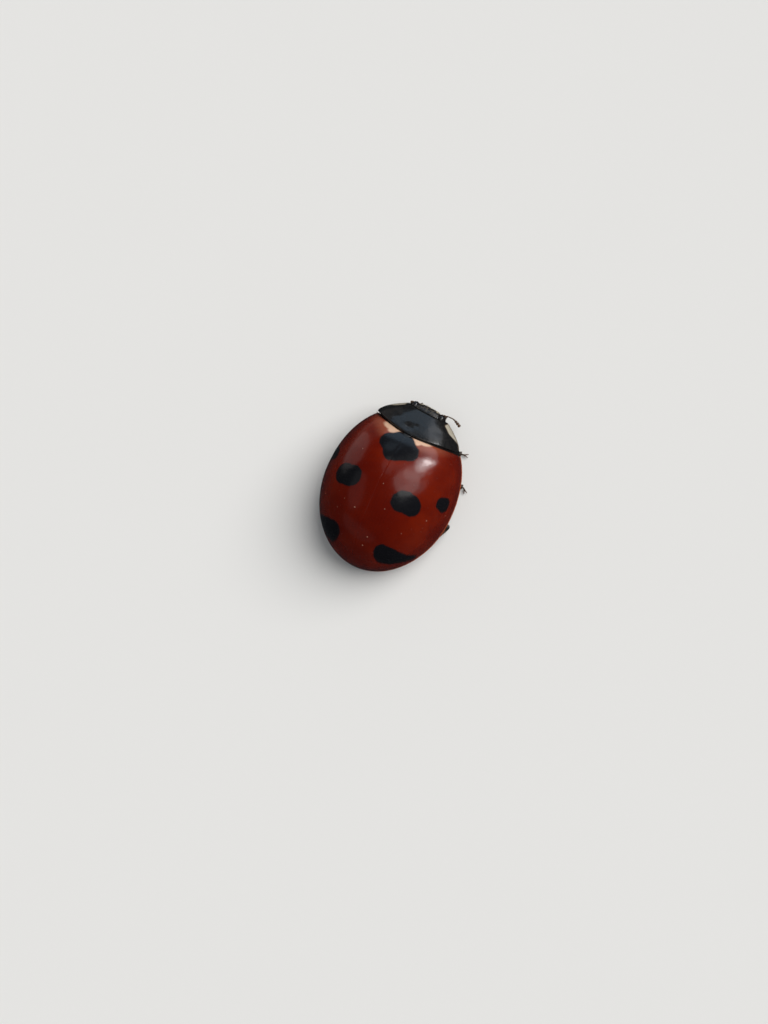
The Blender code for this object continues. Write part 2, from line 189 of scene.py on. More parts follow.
class Build:
    """Collects several closed shapes into one mesh, with named values at its points."""

    def __init__(self):
        self.v, self.f, self.m, self.n, self.attr, self.groups = [], [], [], 0, {}, []

    def bake_map(self):
        """Corner places for the whole mesh: each skin unrolled on its own, and above them a small patch for each hair."""
        spikes = [k for k, (_, grid) in enumerate(self.groups) if grid is None]
        if not spikes:
            return None
        cell, patch = 0.0060, 0.0046
        across = int(1 / cell)
        top = math.ceil(len(spikes) / across) * cell
        skins = {k: unrolled(verts, *grid) for k, (verts, grid) in enumerate(self.groups) if grid is not None}
        keys = list(skins)
        scale, places, stretch = on_shelves([skins[k].max(0) for k in keys], 0.996 - top)
        for i, k in enumerate(keys):
            skins[k] = (skins[k] * scale + places[i] + 0.0015) * (1, stretch)
        for i, k in enumerate(spikes):
            skins[k] = SPIKE_MAP * patch + (i % across * cell + 0.0005, 1 - top + i // across * cell + 0.0005)
        return np.concatenate([skins[k] for k in range(len(self.groups))])

    def add(self, verts, faces, mat=0, **attr):
        verts = np.asarray(verts, float)
        self.v.append(verts)
        self.f += [tuple(i + self.n for i in f) for f in faces]
        self.m += [mat] * len(faces)
        for k, a in attr.items():
            self.attr.setdefault(k, []).append((self.n, np.broadcast_to(np.asarray(a, float), (len(verts),))))
        grid = GRIDS.get(id(faces))
        self.groups.append((verts, grid[1:] if grid else None))
        self.n += len(verts)
        return self

    def done(self, name, mats, nodes=(), sharp=60):
        v = np.concatenate(self.v)
        v = v + np.array([0, OFFSET_Y, 0])
        mesh = bpy.data.meshes.new(name)
        mesh.from_pydata((v * MM).tolist(), [], self.f)
        self.attr.setdefault("pale", [])
        for k, parts in self.attr.items():
            a = np.full(self.n, -9.0 if k in ("spot", "cream", "white", "pale") else 0.0)
            for start, values in parts:
                a[start:start + len(values)] = values
            layer = mesh.attributes.new(k, "FLOAT", "POINT")
            layer.data.foreach_set("value", a.astype(np.float32))
        mesh.polygons.foreach_set("material_index", np.array(self.m, np.int32))
        places = self.bake_map()
        if places is not None:
            mesh.uv_layers.new(name="OFBake").data.foreach_set("uv", places.astype(np.float32).ravel())
        bm = bmesh.new()
        bm.from_mesh(mesh)
        bmesh.ops.recalc_face_normals(bm, faces=bm.faces[:])
        bm.to_mesh(mesh)
        bm.free()
        for m in mats:
            mesh.materials.append(m)
        mesh.shade_smooth()
        mesh.set_sharp_from_angle(angle=math.radians(sharp))
        obj = bpy.data.objects.new(name, mesh)
        bpy.context.scene.collection.objects.link(obj)
        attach(obj, "root")
        if nodes:
            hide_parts(*nodes)
        return obj


def loft(rows, fan=True):
    """Skin of closed rings (rows, points, 3), its ends closed by fans or flat faces."""
    rows = np.asarray(rows, float)
    r, n, _ = rows.shape
    idx = np.arange(r * n).reshape(r, n)
    nxt = np.roll(idx, -1, axis=1)
    faces = np.stack([idx[:-1], nxt[:-1], nxt[1:], idx[1:]], -1).reshape(-1, 4).tolist()
    verts = rows.reshape(-1, 3)
    for k, ring in enumerate((idx[0][::-1], idx[-1])):
        if fan:
            verts = np.concatenate([verts, verts[ring].mean(0)[None]])
            hub = len(verts) - 1
            faces += [(int(ring[i]), int(ring[(i + 1) % n]), hub) for i in range(n)]
        else:
            faces.append(tuple(int(i) for i in ring))
    GRIDS[id(faces)] = (faces, r, n, fan)
    return verts, faces


def spline(points, m):
    """Catmull-Rom curve through points, m samples evenly along it."""
    p = np.asarray(points, float)
    p = np.concatenate([[2 * p[0] - p[1]], p, [2 * p[-1] - p[-2]]])
    out = []
    for i in range(1, len(p) - 2):
        t = np.linspace(0, 1, 24, endpoint=False)[:, None]
        a, b, c, d = p[i - 1], p[i], p[i + 1], p[i + 2]
        out.append(0.5 * ((2 * b) + (-a + c) * t + (2 * a - 5 * b + 4 * c - d) * t ** 2 + (-a + 3 * b - 3 * c + d) * t ** 3))
    out = np.concatenate(out + [p[-2][None]])
    s = np.concatenate([[0], np.cumsum(np.linalg.norm(np.diff(out, axis=0), axis=1))])
    want = np.linspace(0, s[-1], m)
    return np.stack([np.interp(want, s, out[:, i]) for i in range(3)], -1)


def limb(points, wide, high, m=36, n=20, up=(0, 0, 1), ends=(1.0, 1.0), power=2.0, bumps=0.0):
    """Rings of a jointed rod: wide and high are half thicknesses at even steps along it.
    ends says how long the rounding of each end is, in half thicknesses."""
    fine = spline(points, 200)
    total = np.linalg.norm(np.diff(fine, axis=0), axis=1).sum()
    t = (1 - np.cos(np.linspace(0, pi, m))) / 2 * 0.65 + np.linspace(0, 1, m) * 0.35
    t = np.clip(t, 0.0008, 0.9992)
    centre = np.stack([np.interp(t, np.linspace(0, 1, 200), fine[:, i]) for i in range(3)], -1)
    tangent = unit(np.gradient(centre, axis=0))
    w = np.interp(t, np.linspace(0, 1, len(wide)), wide)
    h = np.interp(t, np.linspace(0, 1, len(high)), high)
    for a in (w, h):
        kernel = np.array([0.25, 0.5, 0.25])
        for _ in range(3):
            a[1:-1] = np.convolve(a, kernel, "same")[1:-1]
    e0 = max(ends[0] * (wide[0] + high[0]) / 2, 1e-4)
    e1 = max(ends[1] * (wide[-1] + high[-1]) / 2, 1e-4)
    r0 = np.sqrt(np.clip(1 - (1 - np.clip(t * total / e0, 0, 1)) ** 2, 0, 1))
    r1 = np.sqrt(np.clip(1 - (1 - np.clip((1 - t) * total / e1, 0, 1)) ** 2, 0, 1))
    k = np.maximum(r0 * r1, 0.01)
    side = unit(np.cross(tangent, np.asarray(up, float)))
    top = unit(np.cross(side, tangent))
    a = np.arange(n) * 2 * pi / n
    ca, sa = np.cos(a), np.sin(a)
    if power != 2.0:
        g = (np.abs(ca) ** power + np.abs(sa) ** power) ** (-1 / power)
        ca, sa = ca * g, sa * g
    rows = (centre[:, None] + side[:, None] * (w * k)[:, None, None] * ca[None, :, None]
            + top[:, None] * (h * k)[:, None, None] * sa[None, :, None])
    if bumps:
        out = unit(rows - centre[:, None])
        rows = rows + out * (noise(rows, 9.0) * bumps * k[:, None])[..., None]
    return rows


def ball(centre, radii, exp=2.0, nu=32, nv=20, axes=None):
    """Rings of an ellipsoid with its poles along its own x, which axes may turn."""
    a = np.linspace(0.03, pi - 0.03, nv)[:, None]
    b = (np.arange(nu) * 2 * pi / nu)[None]
    d = np.stack([np.broadcast_to(np.cos(a), (nv, nu)), np.sin(a) * np.cos(b), np.sin(a) * np.sin(b)], -1)
    k = (np.abs(d) ** exp).sum(-1, keepdims=True) ** (-1 / exp)
    p = d * k * np.asarray(radii, float)
    if axes is not None:
        p = p @ np.asarray(axes, float)
    return p + np.asarray(centre, float)


def setae(build, roots, dirs, length, radius, mat, bend=0.25, down=(0, 0, -1)):
    """Short stiff hairs, each a bent three-sided spike."""
    down = np.asarray(down, float)
    for p, d, l in zip(roots, unit(dirs), np.broadcast_to(length, (len(roots),))):
        side = unit(np.cross(d, (0.31, 0.52, 0.79)))
        other = np.cross(d, side)
        ring = [side * math.cos(x) + other * math.sin(x) for x in (0, 2 * pi / 3, 4 * pi / 3)]
        mid = p + d * l * 0.5
        tip = p + d * l + down * l * bend
        v = [p - d * radius + r * radius for r in ring] + [mid + r * radius * 0.75 for r in ring] + [tip]
        f = [(0, 1, 4, 3), (1, 2, 5, 4), (2, 0, 3, 5), (3, 4, 6), (4, 5, 6), (5, 3, 6), (2, 1, 0)]
        build.add(v, f, mat)


def pick(rows, count, lo=0.1, hi=0.95, want=None):
    """Seeded points on a limb's rings with their outward directions and the limb's own direction."""
    rows = np.asarray(rows)
    r, n, _ = rows.shape
    i = rng.integers(int(lo * (r - 1)), max(int(hi * (r - 1)), 1), count)
    j = rng.integers(0, n, count)
    c = rows.mean(1)
    out = unit(rows[i, j] - c[i])
    along = unit(c[np.minimum(i + 1, r - 1)] - c[np.maximum(i - 1, 0)])
    p = rows[i, j]
    if want is not None:
        keep = want(p, out)
        return p[keep], out[keep], along[keep]
    return p, out, along


# ---- materials ----------------------------------------------------------------
def node(tree, kind, link=None, **values):
    n = tree.nodes.new("ShaderNode" + kind)
    for k, v in values.items():
        if hasattr(n, k):
            setattr(n, k, v)
        else:
            n.inputs[k.replace("_", " ")].default_value = v
    for k, v in (link or {}).items():
        tree.links.new(v, n.inputs[k])
    return n


def new_material(name):
    m = bpy.data.materials.new(name)
    m.use_nodes = True
    t = m.node_tree
    bsdf = t.nodes["Principled BSDF"]
    where = node(t, "TexCoord")
    mm = node(t, "VectorMath", operation="SCALE", link={0: where.outputs["Object"]})
    mm.inputs["Scale"].default_value = 1000.0
    return m, t, bsdf, mm.outputs[0]


def mix(t, fac, a, b, kind="MIX"):
    """Colour mix; a and b are colours or sockets."""
    n = t.nodes.new("ShaderNodeMix")
    n.data_type = "RGBA"
    n.blend_type = kind
    for i, v in ((0, fac), (6, a), (7, b)):
        if isinstance(v, (int, float)):
            n.inputs[i].default_value = v
        elif isinstance(v, tuple):
            n.inputs[i].default_value = (*v, 1.0)
        else:
            t.links.new(v, n.inputs[i])
    return n.outputs[2]


def ramp(t, value, lo, hi, out_lo=0.0, out_hi=1.0):
    n = t.nodes.new("ShaderNodeMapRange")
    n.interpolation_type = "SMOOTHSTEP"
    for i, v in ((1, lo), (2, hi), (3, out_lo), (4, out_hi)):
        n.inputs[i].default_value = v
    t.links.new(value, n.inputs[0])
    return n.outputs[0]


def math_node(t, op, a, b=0.0):
    n = t.nodes.new("ShaderNodeMath")
    n.operation = op
    for i, v in ((0, a), (1, b)):
        if isinstance(v, (int, float)):
            n.inputs[i].default_value = v
        else:
            t.links.new(v, n.inputs[i])
    return n.outputs[0]


def noise_tex(t, co, scale, detail=3.0, rough=0.55):
    return node(t, "TexNoise", link={"Vector": co}, Scale=scale, Detail=detail, Roughness=rough).outputs[0]


def cells(t, co, scale, feature="F1", jitter=1.0):
    return node(t, "TexVoronoi", link={"Vector": co}, feature=feature, Scale=scale, Randomness=jitter).outputs["Distance"]


def attribute(t, name):
    return node(t, "Attribute", attribute_name=name).outputs["Fac"]


def bump(t, bsdf, heights):
    """heights: (socket, height in mm) added one on the other."""
    normal = None
    for socket, size in heights:
        b = node(t, "Bump", Strength=1.0, Distance=size * MM, link={"Height": socket})
        if normal is not None:
            t.links.new(normal, b.inputs["Normal"])
        normal = b.outputs[0]
    t.links.new(normal, bsdf.inputs["Normal"])


def shader(bsdf, rough=None, spec=0.5, coat=0.0, coat_rough=0.1, ior=1.5):
    if rough is not None:
        bsdf.inputs["Roughness"].default_value = rough
    bsdf.inputs["Specular IOR Level"].default_value = spec
    bsdf.inputs["IOR"].default_value = ior
    bsdf.inputs["Coat Weight"].default_value = coat
    bsdf.inputs["Coat Roughness"].default_value = coat_rough


def elytra_material():
    m, t, b, co = new_material("elytra_red")
    broad = noise_tex(t, co, 0.7, 2.0)
    fine = noise_tex(t, co, 6.0, 5.0, 0.6)
    base = mix(t, ramp(t, broad, 0.35, 0.65), (0.150, 0.0086, 0.0004), (0.104, 0.0042, 0.0003))
    base = mix(t, ramp(t, fine, 0.35, 0.75, 0.0, 0.35), base, (0.085, 0.0045, 0.0006))
    # painted shade: a darker band along the suture in the rear half; then fine lengthwise lines beside the suture, in
    # the rear half
    base = mix(t, math_node(t, "MULTIPLY", attribute(t, "dusk"), 0.62), base, (0.074, 0.0022, 0.0002))
    line = node(t, "Attribute", attribute_name="lines").outputs["Fac"]
    base = mix(t, math_node(t, "MULTIPLY", line, 0.18), base, (0.050, 0.0030, 0.0006))
    # side border and the under rim are more orange
    edge = attribute(t, "edge")
    base = mix(t, ramp(t, edge, 0.30, 0.02, 0.0, 0.55), base, (0.21, 0.026, 0.0045))
    # painted highlight: a thin pale orange line along the bead near the side edge
    line = math_node(t, "MULTIPLY", ramp(t, edge, 0.015, 0.04), ramp(t, edge, 0.11, 0.07))
    base = mix(t, math_node(t, "MULTIPLY", line, 0.55), base, (0.42, 0.105, 0.040))
    base = mix(t, attribute(t, "rim"), base, (0.36, 0.075, 0.018))
    # cream patches at the base; the broad pale pink halo round them is painted light
    wave = math_node(t, "MULTIPLY", math_node(t, "SUBTRACT", noise_tex(t, co, 9.0, 3.0), 0.5), 0.05)
    cream = math_node(t, "ADD", attribute(t, "cream"), wave)
    # painted light: a broad pale pink halo round the cream patches
    base = mix(t, ramp(t, cream, -0.42, 0.02, 0.0, 0.52), base, (0.36, 0.105, 0.052))
    base = mix(t, ramp(t, cream, -0.03, 0.06, 0.0, 0.92), base, (0.66, 0.43, 0.29))
    # black spots, with a thin darker red edge
    edge_wave = math_node(t, "MULTIPLY", math_node(t, "SUBTRACT", noise_tex(t, co, 4.5, 4.0), 0.5), 0.11)
    spot = math_node(t, "ADD", attribute(t, "spot"), edge_wave)
    base = mix(t, ramp(t, spot, -0.055, 0.01, 0.0, 0.6), base, (0.045, 0.0030, 0.0016))
    black = ramp(t, spot, -0.002, 0.034)
    base = mix(t, black, base, (0.0052, 0.0054, 0.0070))
    t.links.new(base, b.inputs["Base Color"])
    t.links.new(ramp(t, fine, 0.3, 0.8, 0.21, 0.29), b.inputs["Roughness"])
    shader(b, spec=0.15, coat=0.85, coat_rough=0.155)
    pits = ramp(t, cells(t, co, 22.0), 0.05, 0.36)
    bump(t, b, [(noise_tex(t, co, 1.7, 2.0), 0.022), (pits, 0.0012), (noise_tex(t, co, 34.0, 2.0), 0.0006)])
    return m


def pronotum_material():
    m, t, b, co = new_material("pronotum_black")
    fine = noise_tex(t, co, 8.0, 4.0)
    base = mix(t, ramp(t, fine, 0.3, 0.75), (0.0075, 0.0075, 0.0080), (0.0130, 0.0120, 0.0115))
    wave = math_node(t, "MULTIPLY", math_node(t, "SUBTRACT", noise_tex(t, co, 10.0, 3.0), 0.5), 0.025)
    white = math_node(t, "ADD", attribute(t, "white"), wave)
    base = mix(t, ramp(t, white, -0.035, 0.015, 0.0, 0.8), base, (0.16, 0.11, 0.07))
    pale = mix(t, ramp(t, noise_tex(t, co, 14.0, 3.0), 0.35, 0.7), (0.47, 0.43, 0.35), (0.38, 0.335, 0.26))
    base = mix(t, ramp(t, white, -0.01, 0.04), base, pale)
    t.links.new(base, b.inputs["Base Color"])
    t.links.new(ramp(t, fine, 0.3, 0.8, 0.19, 0.28), b.inputs["Roughness"])
    shader(b, spec=0.36, coat=0.38, coat_rough=0.12)
    pits = ramp(t, cells(t, co, 21.0), 0.05, 0.32)
    bump(t, b, [(noise_tex(t, co, 2.4, 2.0), 0.020), (pits, 0.0016), (noise_tex(t, co, 40.0, 2.0), 0.0010)])
    return m


def cuticle_material(name, dark, light, rough=(0.30, 0.45), pit=0.003, pit_scale=20.0, spec=0.5, coat=0.2,
                     pale=None, wide=0.010, smear=None):
    """Black or brown body wall: cloudy colour, fine pits, and pale places where the mesh says so."""
    m, t, b, co = new_material(name)
    fine = noise_tex(t, co, 7.0, 4.0)
    base = mix(t, ramp(t, fine, 0.3, 0.75), dark, light)
    if smear:
        base = mix(t, ramp(t, noise_tex(t, co, 1.8, 3.0), 0.45, 0.75, 0.0, 0.7), base, smear)
    if pale:
        p = attribute(t, "pale")
        wave = math_node(t, "MULTIPLY", math_node(t, "SUBTRACT", noise_tex(t, co, 11.0, 3.0), 0.5), 0.05)
        p = math_node(t, "ADD", p, wave)
        base = mix(t, ramp(t, p, -0.03, 0.03), base, pale)
    t.links.new(base, b.inputs["Base Color"])
    t.links.new(ramp(t, fine, 0.3, 0.8, rough[0], rough[1]), b.inputs["Roughness"])
    shader(b, spec=spec, coat=coat, coat_rough=0.2)
    pits = ramp(t, cells(t, co, pit_scale), 0.04, 0.33)
    bump(t, b, [(noise_tex(t, co, 3.0, 2.0), wide), (pits, pit), (noise_tex(t, co, 38.0, 2.0), 0.0016)])
    return m


def eye_material():
    m, t, b, co = new_material("eye_black")
    fine = noise_tex(t, co, 5.0, 2.0)
    base = mix(t, ramp(t, fine, 0.35, 0.7), (0.0040, 0.0042, 0.0060), (0.0110, 0.0085, 0.0080))
    edge = cells(t, co, 24.0, "DISTANCE_TO_EDGE", 0.35)
    base = mix(t, ramp(t, edge, 0.0, 0.12, 0.5, 0.0), base, (0.016, 0.013, 0.012))
    t.links.new(base, b.inputs["Base Color"])
    t.links.new(ramp(t, fine, 0.3, 0.7, 0.16, 0.24), b.inputs["Roughness"])
    shader(b, spec=0.6, coat=0.5, coat_rough=0.06)
    bump(t, b, [(noise_tex(t, co, 30.0, 2.0), 0.0008)])
    return m


def hair_material():
    m, t, b, co = new_material("seta_pale")
    base = mix(t, noise_tex(t, co, 12.0, 2.0), (0.20, 0.15, 0.10), (0.34, 0.28, 0.20))
    t.links.new(base, b.inputs["Base Color"])
    t.links.new(ramp(t, noise_tex(t, co, 30.0, 1.0), 0.2, 0.8, 0.4, 0.55), b.inputs["Roughness"])
    shader(b, spec=0.4)
    return m


def grain_material():
    m, t, b, co = new_material("pollen_pale")
    base = mix(t, noise_tex(t, co, 25.0, 3.0), (0.20, 0.060, 0.035), (0.36, 0.17, 0.11))
    t.links.new(base, b.inputs["Base Color"])
    t.links.new(ramp(t, noise_tex(t, co, 60.0, 2.0), 0.2, 0.8, 0.5, 0.8), b.inputs["Roughness"])
    bump(t, b, [(noise_tex(t, co, 70.0, 2.0), 0.004)])
    return m


ELYTRA = elytra_material()
PRONOTUM = pronotum_material()
BODY = cuticle_material("cuticle_black", (0.0075, 0.0072, 0.0072), (0.0140, 0.0120, 0.0110), pale=(0.55, 0.49, 0.38))
HEAD = cuticle_material("head_black", (0.0065, 0.0062, 0.0062), (0.0120, 0.0100, 0.0090), pale=(0.62, 0.55, 0.40),
                        pit=0.0035, pit_scale=17.0, coat=0.3)
LEG = cuticle_material("leg_black", (0.0110, 0.0085, 0.0070), (0.0230, 0.0160, 0.0110), (0.32, 0.48), pit=0.0022,
                       pit_scale=24.0, smear=(0.040, 0.020, 0.010))
TARSUS = cuticle_material("tarsus_brown", (0.016, 0.0100, 0.0065), (0.050, 0.024, 0.011), (0.36, 0.5), pit=0.0016,
                          pit_scale=30.0, wide=0.005)
ANTENNA = cuticle_material("antenna_brown", (0.060, 0.024, 0.010), (0.110, 0.046, 0.018), (0.36, 0.5), pit=0.0016,
                           pit_scale=32.0, wide=0.004, smear=(0.030, 0.012, 0.006))
MOUTH = cuticle_material("mouth_brown", (0.022, 0.011, 0.006), (0.060, 0.026, 0.011), (0.30, 0.45), pit=0.0016,
                         pit_scale=30.0, wide=0.004)
CLAW = cuticle_material("claw_amber", (0.070, 0.026, 0.009), (0.120, 0.050, 0.018), (0.22, 0.32), pit=0.0006, wide=0.002)
EYE = eye_material()
HAIR = hair_material()
GRAIN = grain_material()


# ---- wing cases ---------------------------------------------------------------
# Black spots, in millimetres over the shell: along s from the suture and along y.
# A round one is its centre and the waves of its outline: mean, then cosine and sine
# of one, two and three times the angle.  A long one is a chain of round knots.
SPOTS = {
    "left": [(0.30, 0.55, (0.581, -0.039, 0.021, -0.029, -0.030, 0.098, -0.006)),
             (1.360, 2.476, (0.578, 0.053, 0.007, 0.112, 0.034, 0.028, 0.004)),
             (3.095, 1.942, (0.386, 0.069, -0.010, 0.082, -0.004))],
    "right": [(0.30, 0.55, (0.656, -0.192, 0.053, 0.100, -0.002, 0.036, 0.040)),
              (1.371, 2.529, (0.570, 0.032, 0.010, 0.118, -0.002, 0.021, 0.026)),
              (3.095, 1.942, (0.386, 0.069, -0.010, 0.082, -0.004))],
}
CHAINS = {
    "left": [((1.20, 4.87, 0.44), (1.75, 4.80, 0.36), (2.45, 4.66, 0.20))],
    "right": [((1.28, 4.84, 0.42), (1.80, 4.78, 0.34), (2.55, 4.64, 0.19), (3.20, 4.42, 0.12))],
}
CREAM = {"left": ((0.54, 0.000, 0.34, 0.200, 0.16), (0.86, -0.070, 0.34, 0.150, -0.20)),
         "right": ((0.46, 0.045, 0.32, 0.215, -0.12), (0.76, -0.020, 0.34, 0.140, -0.10))}



def spot_value(word, s, y):
    """Distance inside the nearest black spot, negative outside."""
    best = np.full(s.shape, -9.0)
    for cs, cy, waves in SPOTS[word]:
        a, r = np.arctan2(y - cy, s - cs), np.hypot(s - cs, y - cy)
        edge = waves[0] + sum(waves[2 * k - 1] * np.cos(k * a) + waves[2 * k] * np.sin(k * a)
                              for k in range(1, (len(waves) - 1) // 2 + 1))
        best = np.maximum(best, edge - r)
    for chain in CHAINS[word]:
        for (s0, y0, r0), (s1, y1, r1) in zip(chain, chain[1:]):
            h = np.clip(((s - s0) * (s1 - s0) + (y - y0) * (y1 - y0)) / ((s1 - s0) ** 2 + (y1 - y0) ** 2), 0, 1)
            best = np.maximum(best, r0 + (r1 - r0) * h - np.hypot(s - s0 - h * (s1 - s0), y - y0 - h * (y1 - y0)))
    return best


def cream_value(word, x, y):
    best = np.full(x.shape, -9.0)
    for cx, cy, rx, ry, tilt in CREAM[word]:
        c, s = math.cos(tilt), math.sin(tilt)
        a, b = (x - cx) * c + (y - cy) * s, -(x - cx) * s + (y - cy) * c
        best = np.maximum(best, (1 - np.hypot(a / rx, b / ry)) * ry)
    return best


def grid_normals(p):
    n = np.cross(np.gradient(p, axis=1), np.gradient(p, axis=0))
    return unit(n)


def elytron_base(q, side):
    return BASE_Y + shoulder(q) - side * PRONOTUM_REAR_HALF * q * math.tan(HEAD_TURN)


def elytron_surface(side, u, v):
    """Outer surface over u, suture to side edge, and v, base to tip, without relief."""
    q = np.sin(u * pi / 2)[None]
    along = (0.72 * np.sin(v * pi / 2) + 0.28 * (1 - (1 - v) ** 2))[:, None]
    base = elytron_base(q, side)
    y = base + (ELYTRA_LENGTH - 0.0012 - base) * along
    x = half_width(y) * q
    z = crown(y) * np.sqrt(np.clip(1 - q ** SECTION_EXP, 0, 1))
    return np.stack([x, y, z], -1), q * np.ones_like(y), y - base


def elytron_relief(p, d_base, to_edge):
    """Height of the fine relief over the smooth dome, in mm."""
    x, y = p[..., 0], p[..., 1]
    h = 0.030 * np.exp(-(((x - 1.72) / 0.34) ** 2 + ((y - 0.42) / 0.40) ** 2))
    h -= 0.006 * np.exp(-x / 0.014)
    h -= 0.024 * np.exp(-((to_edge - 0.105) / 0.034) ** 2)
    h += 0.006 * np.exp(-((to_edge - 0.035) / 0.025) ** 2)
    h -= 0.060 * np.exp(-d_base / 0.035)
    h += 0.0060 * noise(p, 0.9) + 0.0034 * noise(p, 2.3, 7.0) + 0.0014 * noise(p, 5.0, 3.0)
    return h - 0.004


def elytron(side, word):
    u = np.concatenate([np.linspace(0, 0.05, 9)[:-1], np.linspace(0.05, 0.90, 86)[:-1], np.linspace(0.90, 1, 42)])
    v = np.concatenate([np.linspace(0, 0.02, 8)[:-1], np.linspace(0.02, 1, 196)])
    p, q, d_base = elytron_surface(side, u, v)
    step = np.hypot(np.diff(p[..., 0], axis=1), np.diff(p[..., 2], axis=1))
    s = np.concatenate([np.zeros((len(v), 1)), np.cumsum(step, axis=1)], axis=1)
    to_edge = s[:, -1:] - s
    normal = grid_normals(p)
    normal[-1] = (0, 1, 0)
    flip = np.sign(normal[len(v) // 2, 10, 2])
    normal = normal * flip
    small = np.clip(half_width(p[:, -1, 1]) / 0.5, 0.02, 1)[:, None]
    h = elytron_relief(p, d_base, to_edge) * small
    outer = p + normal * h[..., None]
    outer[..., 0] = np.maximum(outer[..., 0], 0.0)
    # under rim: from the side edge inwards, then the thin inner wall
    margin = p[:, -1]
    slope = np.gradient(half_width(margin[:, 1]), margin[:, 1])
    inward = unit(np.stack([-np.ones_like(slope), slope, np.zeros_like(slope)], -1))
    inward[-1] = (0, -1, 0)
    k = small[:, 0]
    w = 0.42 * np.clip(half_width(margin[:, 1]) / 1.1, 0.02, 1)
    rim = []
    for d, z in ((0.012, -0.016), (0.040, -0.026), (0.075, -0.022), (0.105, -0.010)):
        rim.append(margin + inward * (d * k)[:, None] + np.array([0, 0, 1]) * (z * k)[:, None])
    for f, z in ((0.35, 0.000), (0.5, 0.006), (0.65, 0.016), (0.8, 0.030), (0.93, 0.044), (1.0, 0.060), (0.97, 0.085),
                 (0.75, 0.090), (0.5, 0.10)):
        rim.append(margin + inward * (w * f)[:, None] + np.array([0, 0, 1]) * (z * k)[:, None])
    rim = np.stack(rim, 1)
    pick_u = np.searchsorted(u, np.linspace(0.93, 0.0, 18))
    pick_u = np.clip(pick_u, 0, len(u) - 1)
    inner = (p - normal * (0.13 * k)[:, None, None])[:, pick_u]
    inner[..., 0] = np.maximum(inner[..., 0], 0.0)
    rows = np.concatenate([outer, rim, inner], 1)
    n_o, n_r, n_i = outer.shape[1], rim.shape[1], inner.shape[1]
    spot = np.full(rows.shape[:2], -9.0)
    spot[:, :n_o] = spot_value(word, s, p[..., 1])
    cream = np.full(rows.shape[:2], -9.0)
    cream[:, :n_o] = cream_value(word, p[..., 0], p[..., 1])
    edge = np.full(rows.shape[:2], 1.0)
    edge[:, :n_o] = to_edge
    edge[:, n_o:n_o + n_r] = 0
    under = np.zeros(rows.shape[:2])
    under[:, n_o + 2:n_o + n_r] = 1
    under[:, n_o + n_r:] = 1
    lines = np.zeros(rows.shape[:2])
    stripe = 0.5 + 0.5 * np.sin(2 * pi * p[..., 0] / 0.135)
    lines[:, :n_o] = (stripe ** 2 * smooth(2.0, 3.0, p[..., 1]) * smooth(5.2, 4.6, p[..., 1])
                      * smooth(0.08, 0.2, p[..., 0]) * smooth(1.3, 0.7, p[..., 0]))
    # painted shade: a darker band along the suture in the rear half of the shell
    dusk = np.zeros(rows.shape[:2])
    dusk[:, :n_o] = smooth(0.9, 2.2, p[..., 1]) * smooth(5.5, 4.3, p[..., 1]) * smooth(2.4, 0.9, p[..., 0])
    rows[..., 0] *= side
    rows[..., 2] += MARGIN_Z
    verts, faces = loft(rows, fan=False)
    b = Build()
    b.add(verts, faces, 0, spot=spot.ravel(), cream=cream.ravel(), edge=edge.ravel(), rim=under.ravel(), lines=lines.ravel(), dusk=dusk.ravel())
    # pollen grains lying on the shell
    for gx, gy, r in GRAINS[word]:
        qq = gx / float(half_width(np.array(gy)))
        z = float(crown(np.array(gy))) * math.sqrt(max(1 - qq ** SECTION_EXP, 0))
        e = 0.01
        fz = lambda a, c: float(crown(np.array(c))) * math.sqrt(max(1 - (a / float(half_width(np.array(c)))) ** SECTION_EXP, 0))
        nn = unit([-(fz(gx + e, gy) - fz(gx - e, gy)) / (2 * e), -(fz(gx, gy + e) - fz(gx, gy - e)) / (2 * e), 1.0])
        a1 = unit(np.cross(nn, (0.3, 1, 0)))
        a2 = np.cross(nn, a1)
        pos = np.array([gx, gy, z]) + nn * 0.004
        rr = ball(pos, (r * 0.45, r, r * 0.8), nu=14, nv=9, axes=(nn, a1, a2))
        rr = rr + noise(rr, 18.0)[..., None] * 0.006
        rr[..., 0] *= side
        rr[..., 2] += MARGIN_Z
        gv, gf = loft(rr)
        b.add(gv, gf, 1)
    return b.done("wing_case_" + word, [ELYTRA, GRAIN], ["elytron_" + word])


GRAINS = {"left": ((0.48, 3.56, 0.035), (1.30, 1.28, 0.024), (1.21, 3.87, 0.022), (1.05, 3.42, 0.020), (2.05, 3.60, 0.022)),
          "right": ((0.45, 4.44, 0.033), (0.36, 4.84, 0.030), (2.26, 2.82, 0.034), (2.73, 2.30, 0.022),
                    (0.21, 2.20, 0.024), (0.68, 3.11, 0.026), (1.62, 3.72, 0.020))}

for side, word in ((1, "left"), (-1, "right")):
    elytron(side, word)

# ---- scutellum ----------------------------------------------------------------
top = MARGIN_Z + float(crown(np.array(BASE_Y)))
a = np.arange(72) * 2 * pi / 72
corners = np.array([(0.185, BASE_Y), (0.0, BASE_Y + 0.335), (-0.185, BASE_Y)])
centre = corners.mean(0)
k = a / (2 * pi) * 3
i0 = np.floor(k).astype(int) % 3
outline = corners[i0] * (1 - (k % 1))[:, None] + corners[(i0 + 1) % 3] * (k % 1)[:, None]
rows = []
for r, dz in ((1.0, -0.30), (1.0, -0.055), (0.985, -0.030), (0.94, -0.014), (0.86, -0.006), (0.7, 0.0), (0.45, 0.004), (0.2, 0.006), (0.05, 0.007)):
    xy = centre + (outline - centre) * r
    rows.append(np.stack([xy[:, 0], xy[:, 1], top + dz + 0.86 * (xy[:, 1] - BASE_Y) - 0.30 * xy[:, 0] ** 2], -1))
b = Build()
v, f = loft(rows)
b.add(v, f)
b.done("scutellum_plate", [BODY], ["scutellum"])


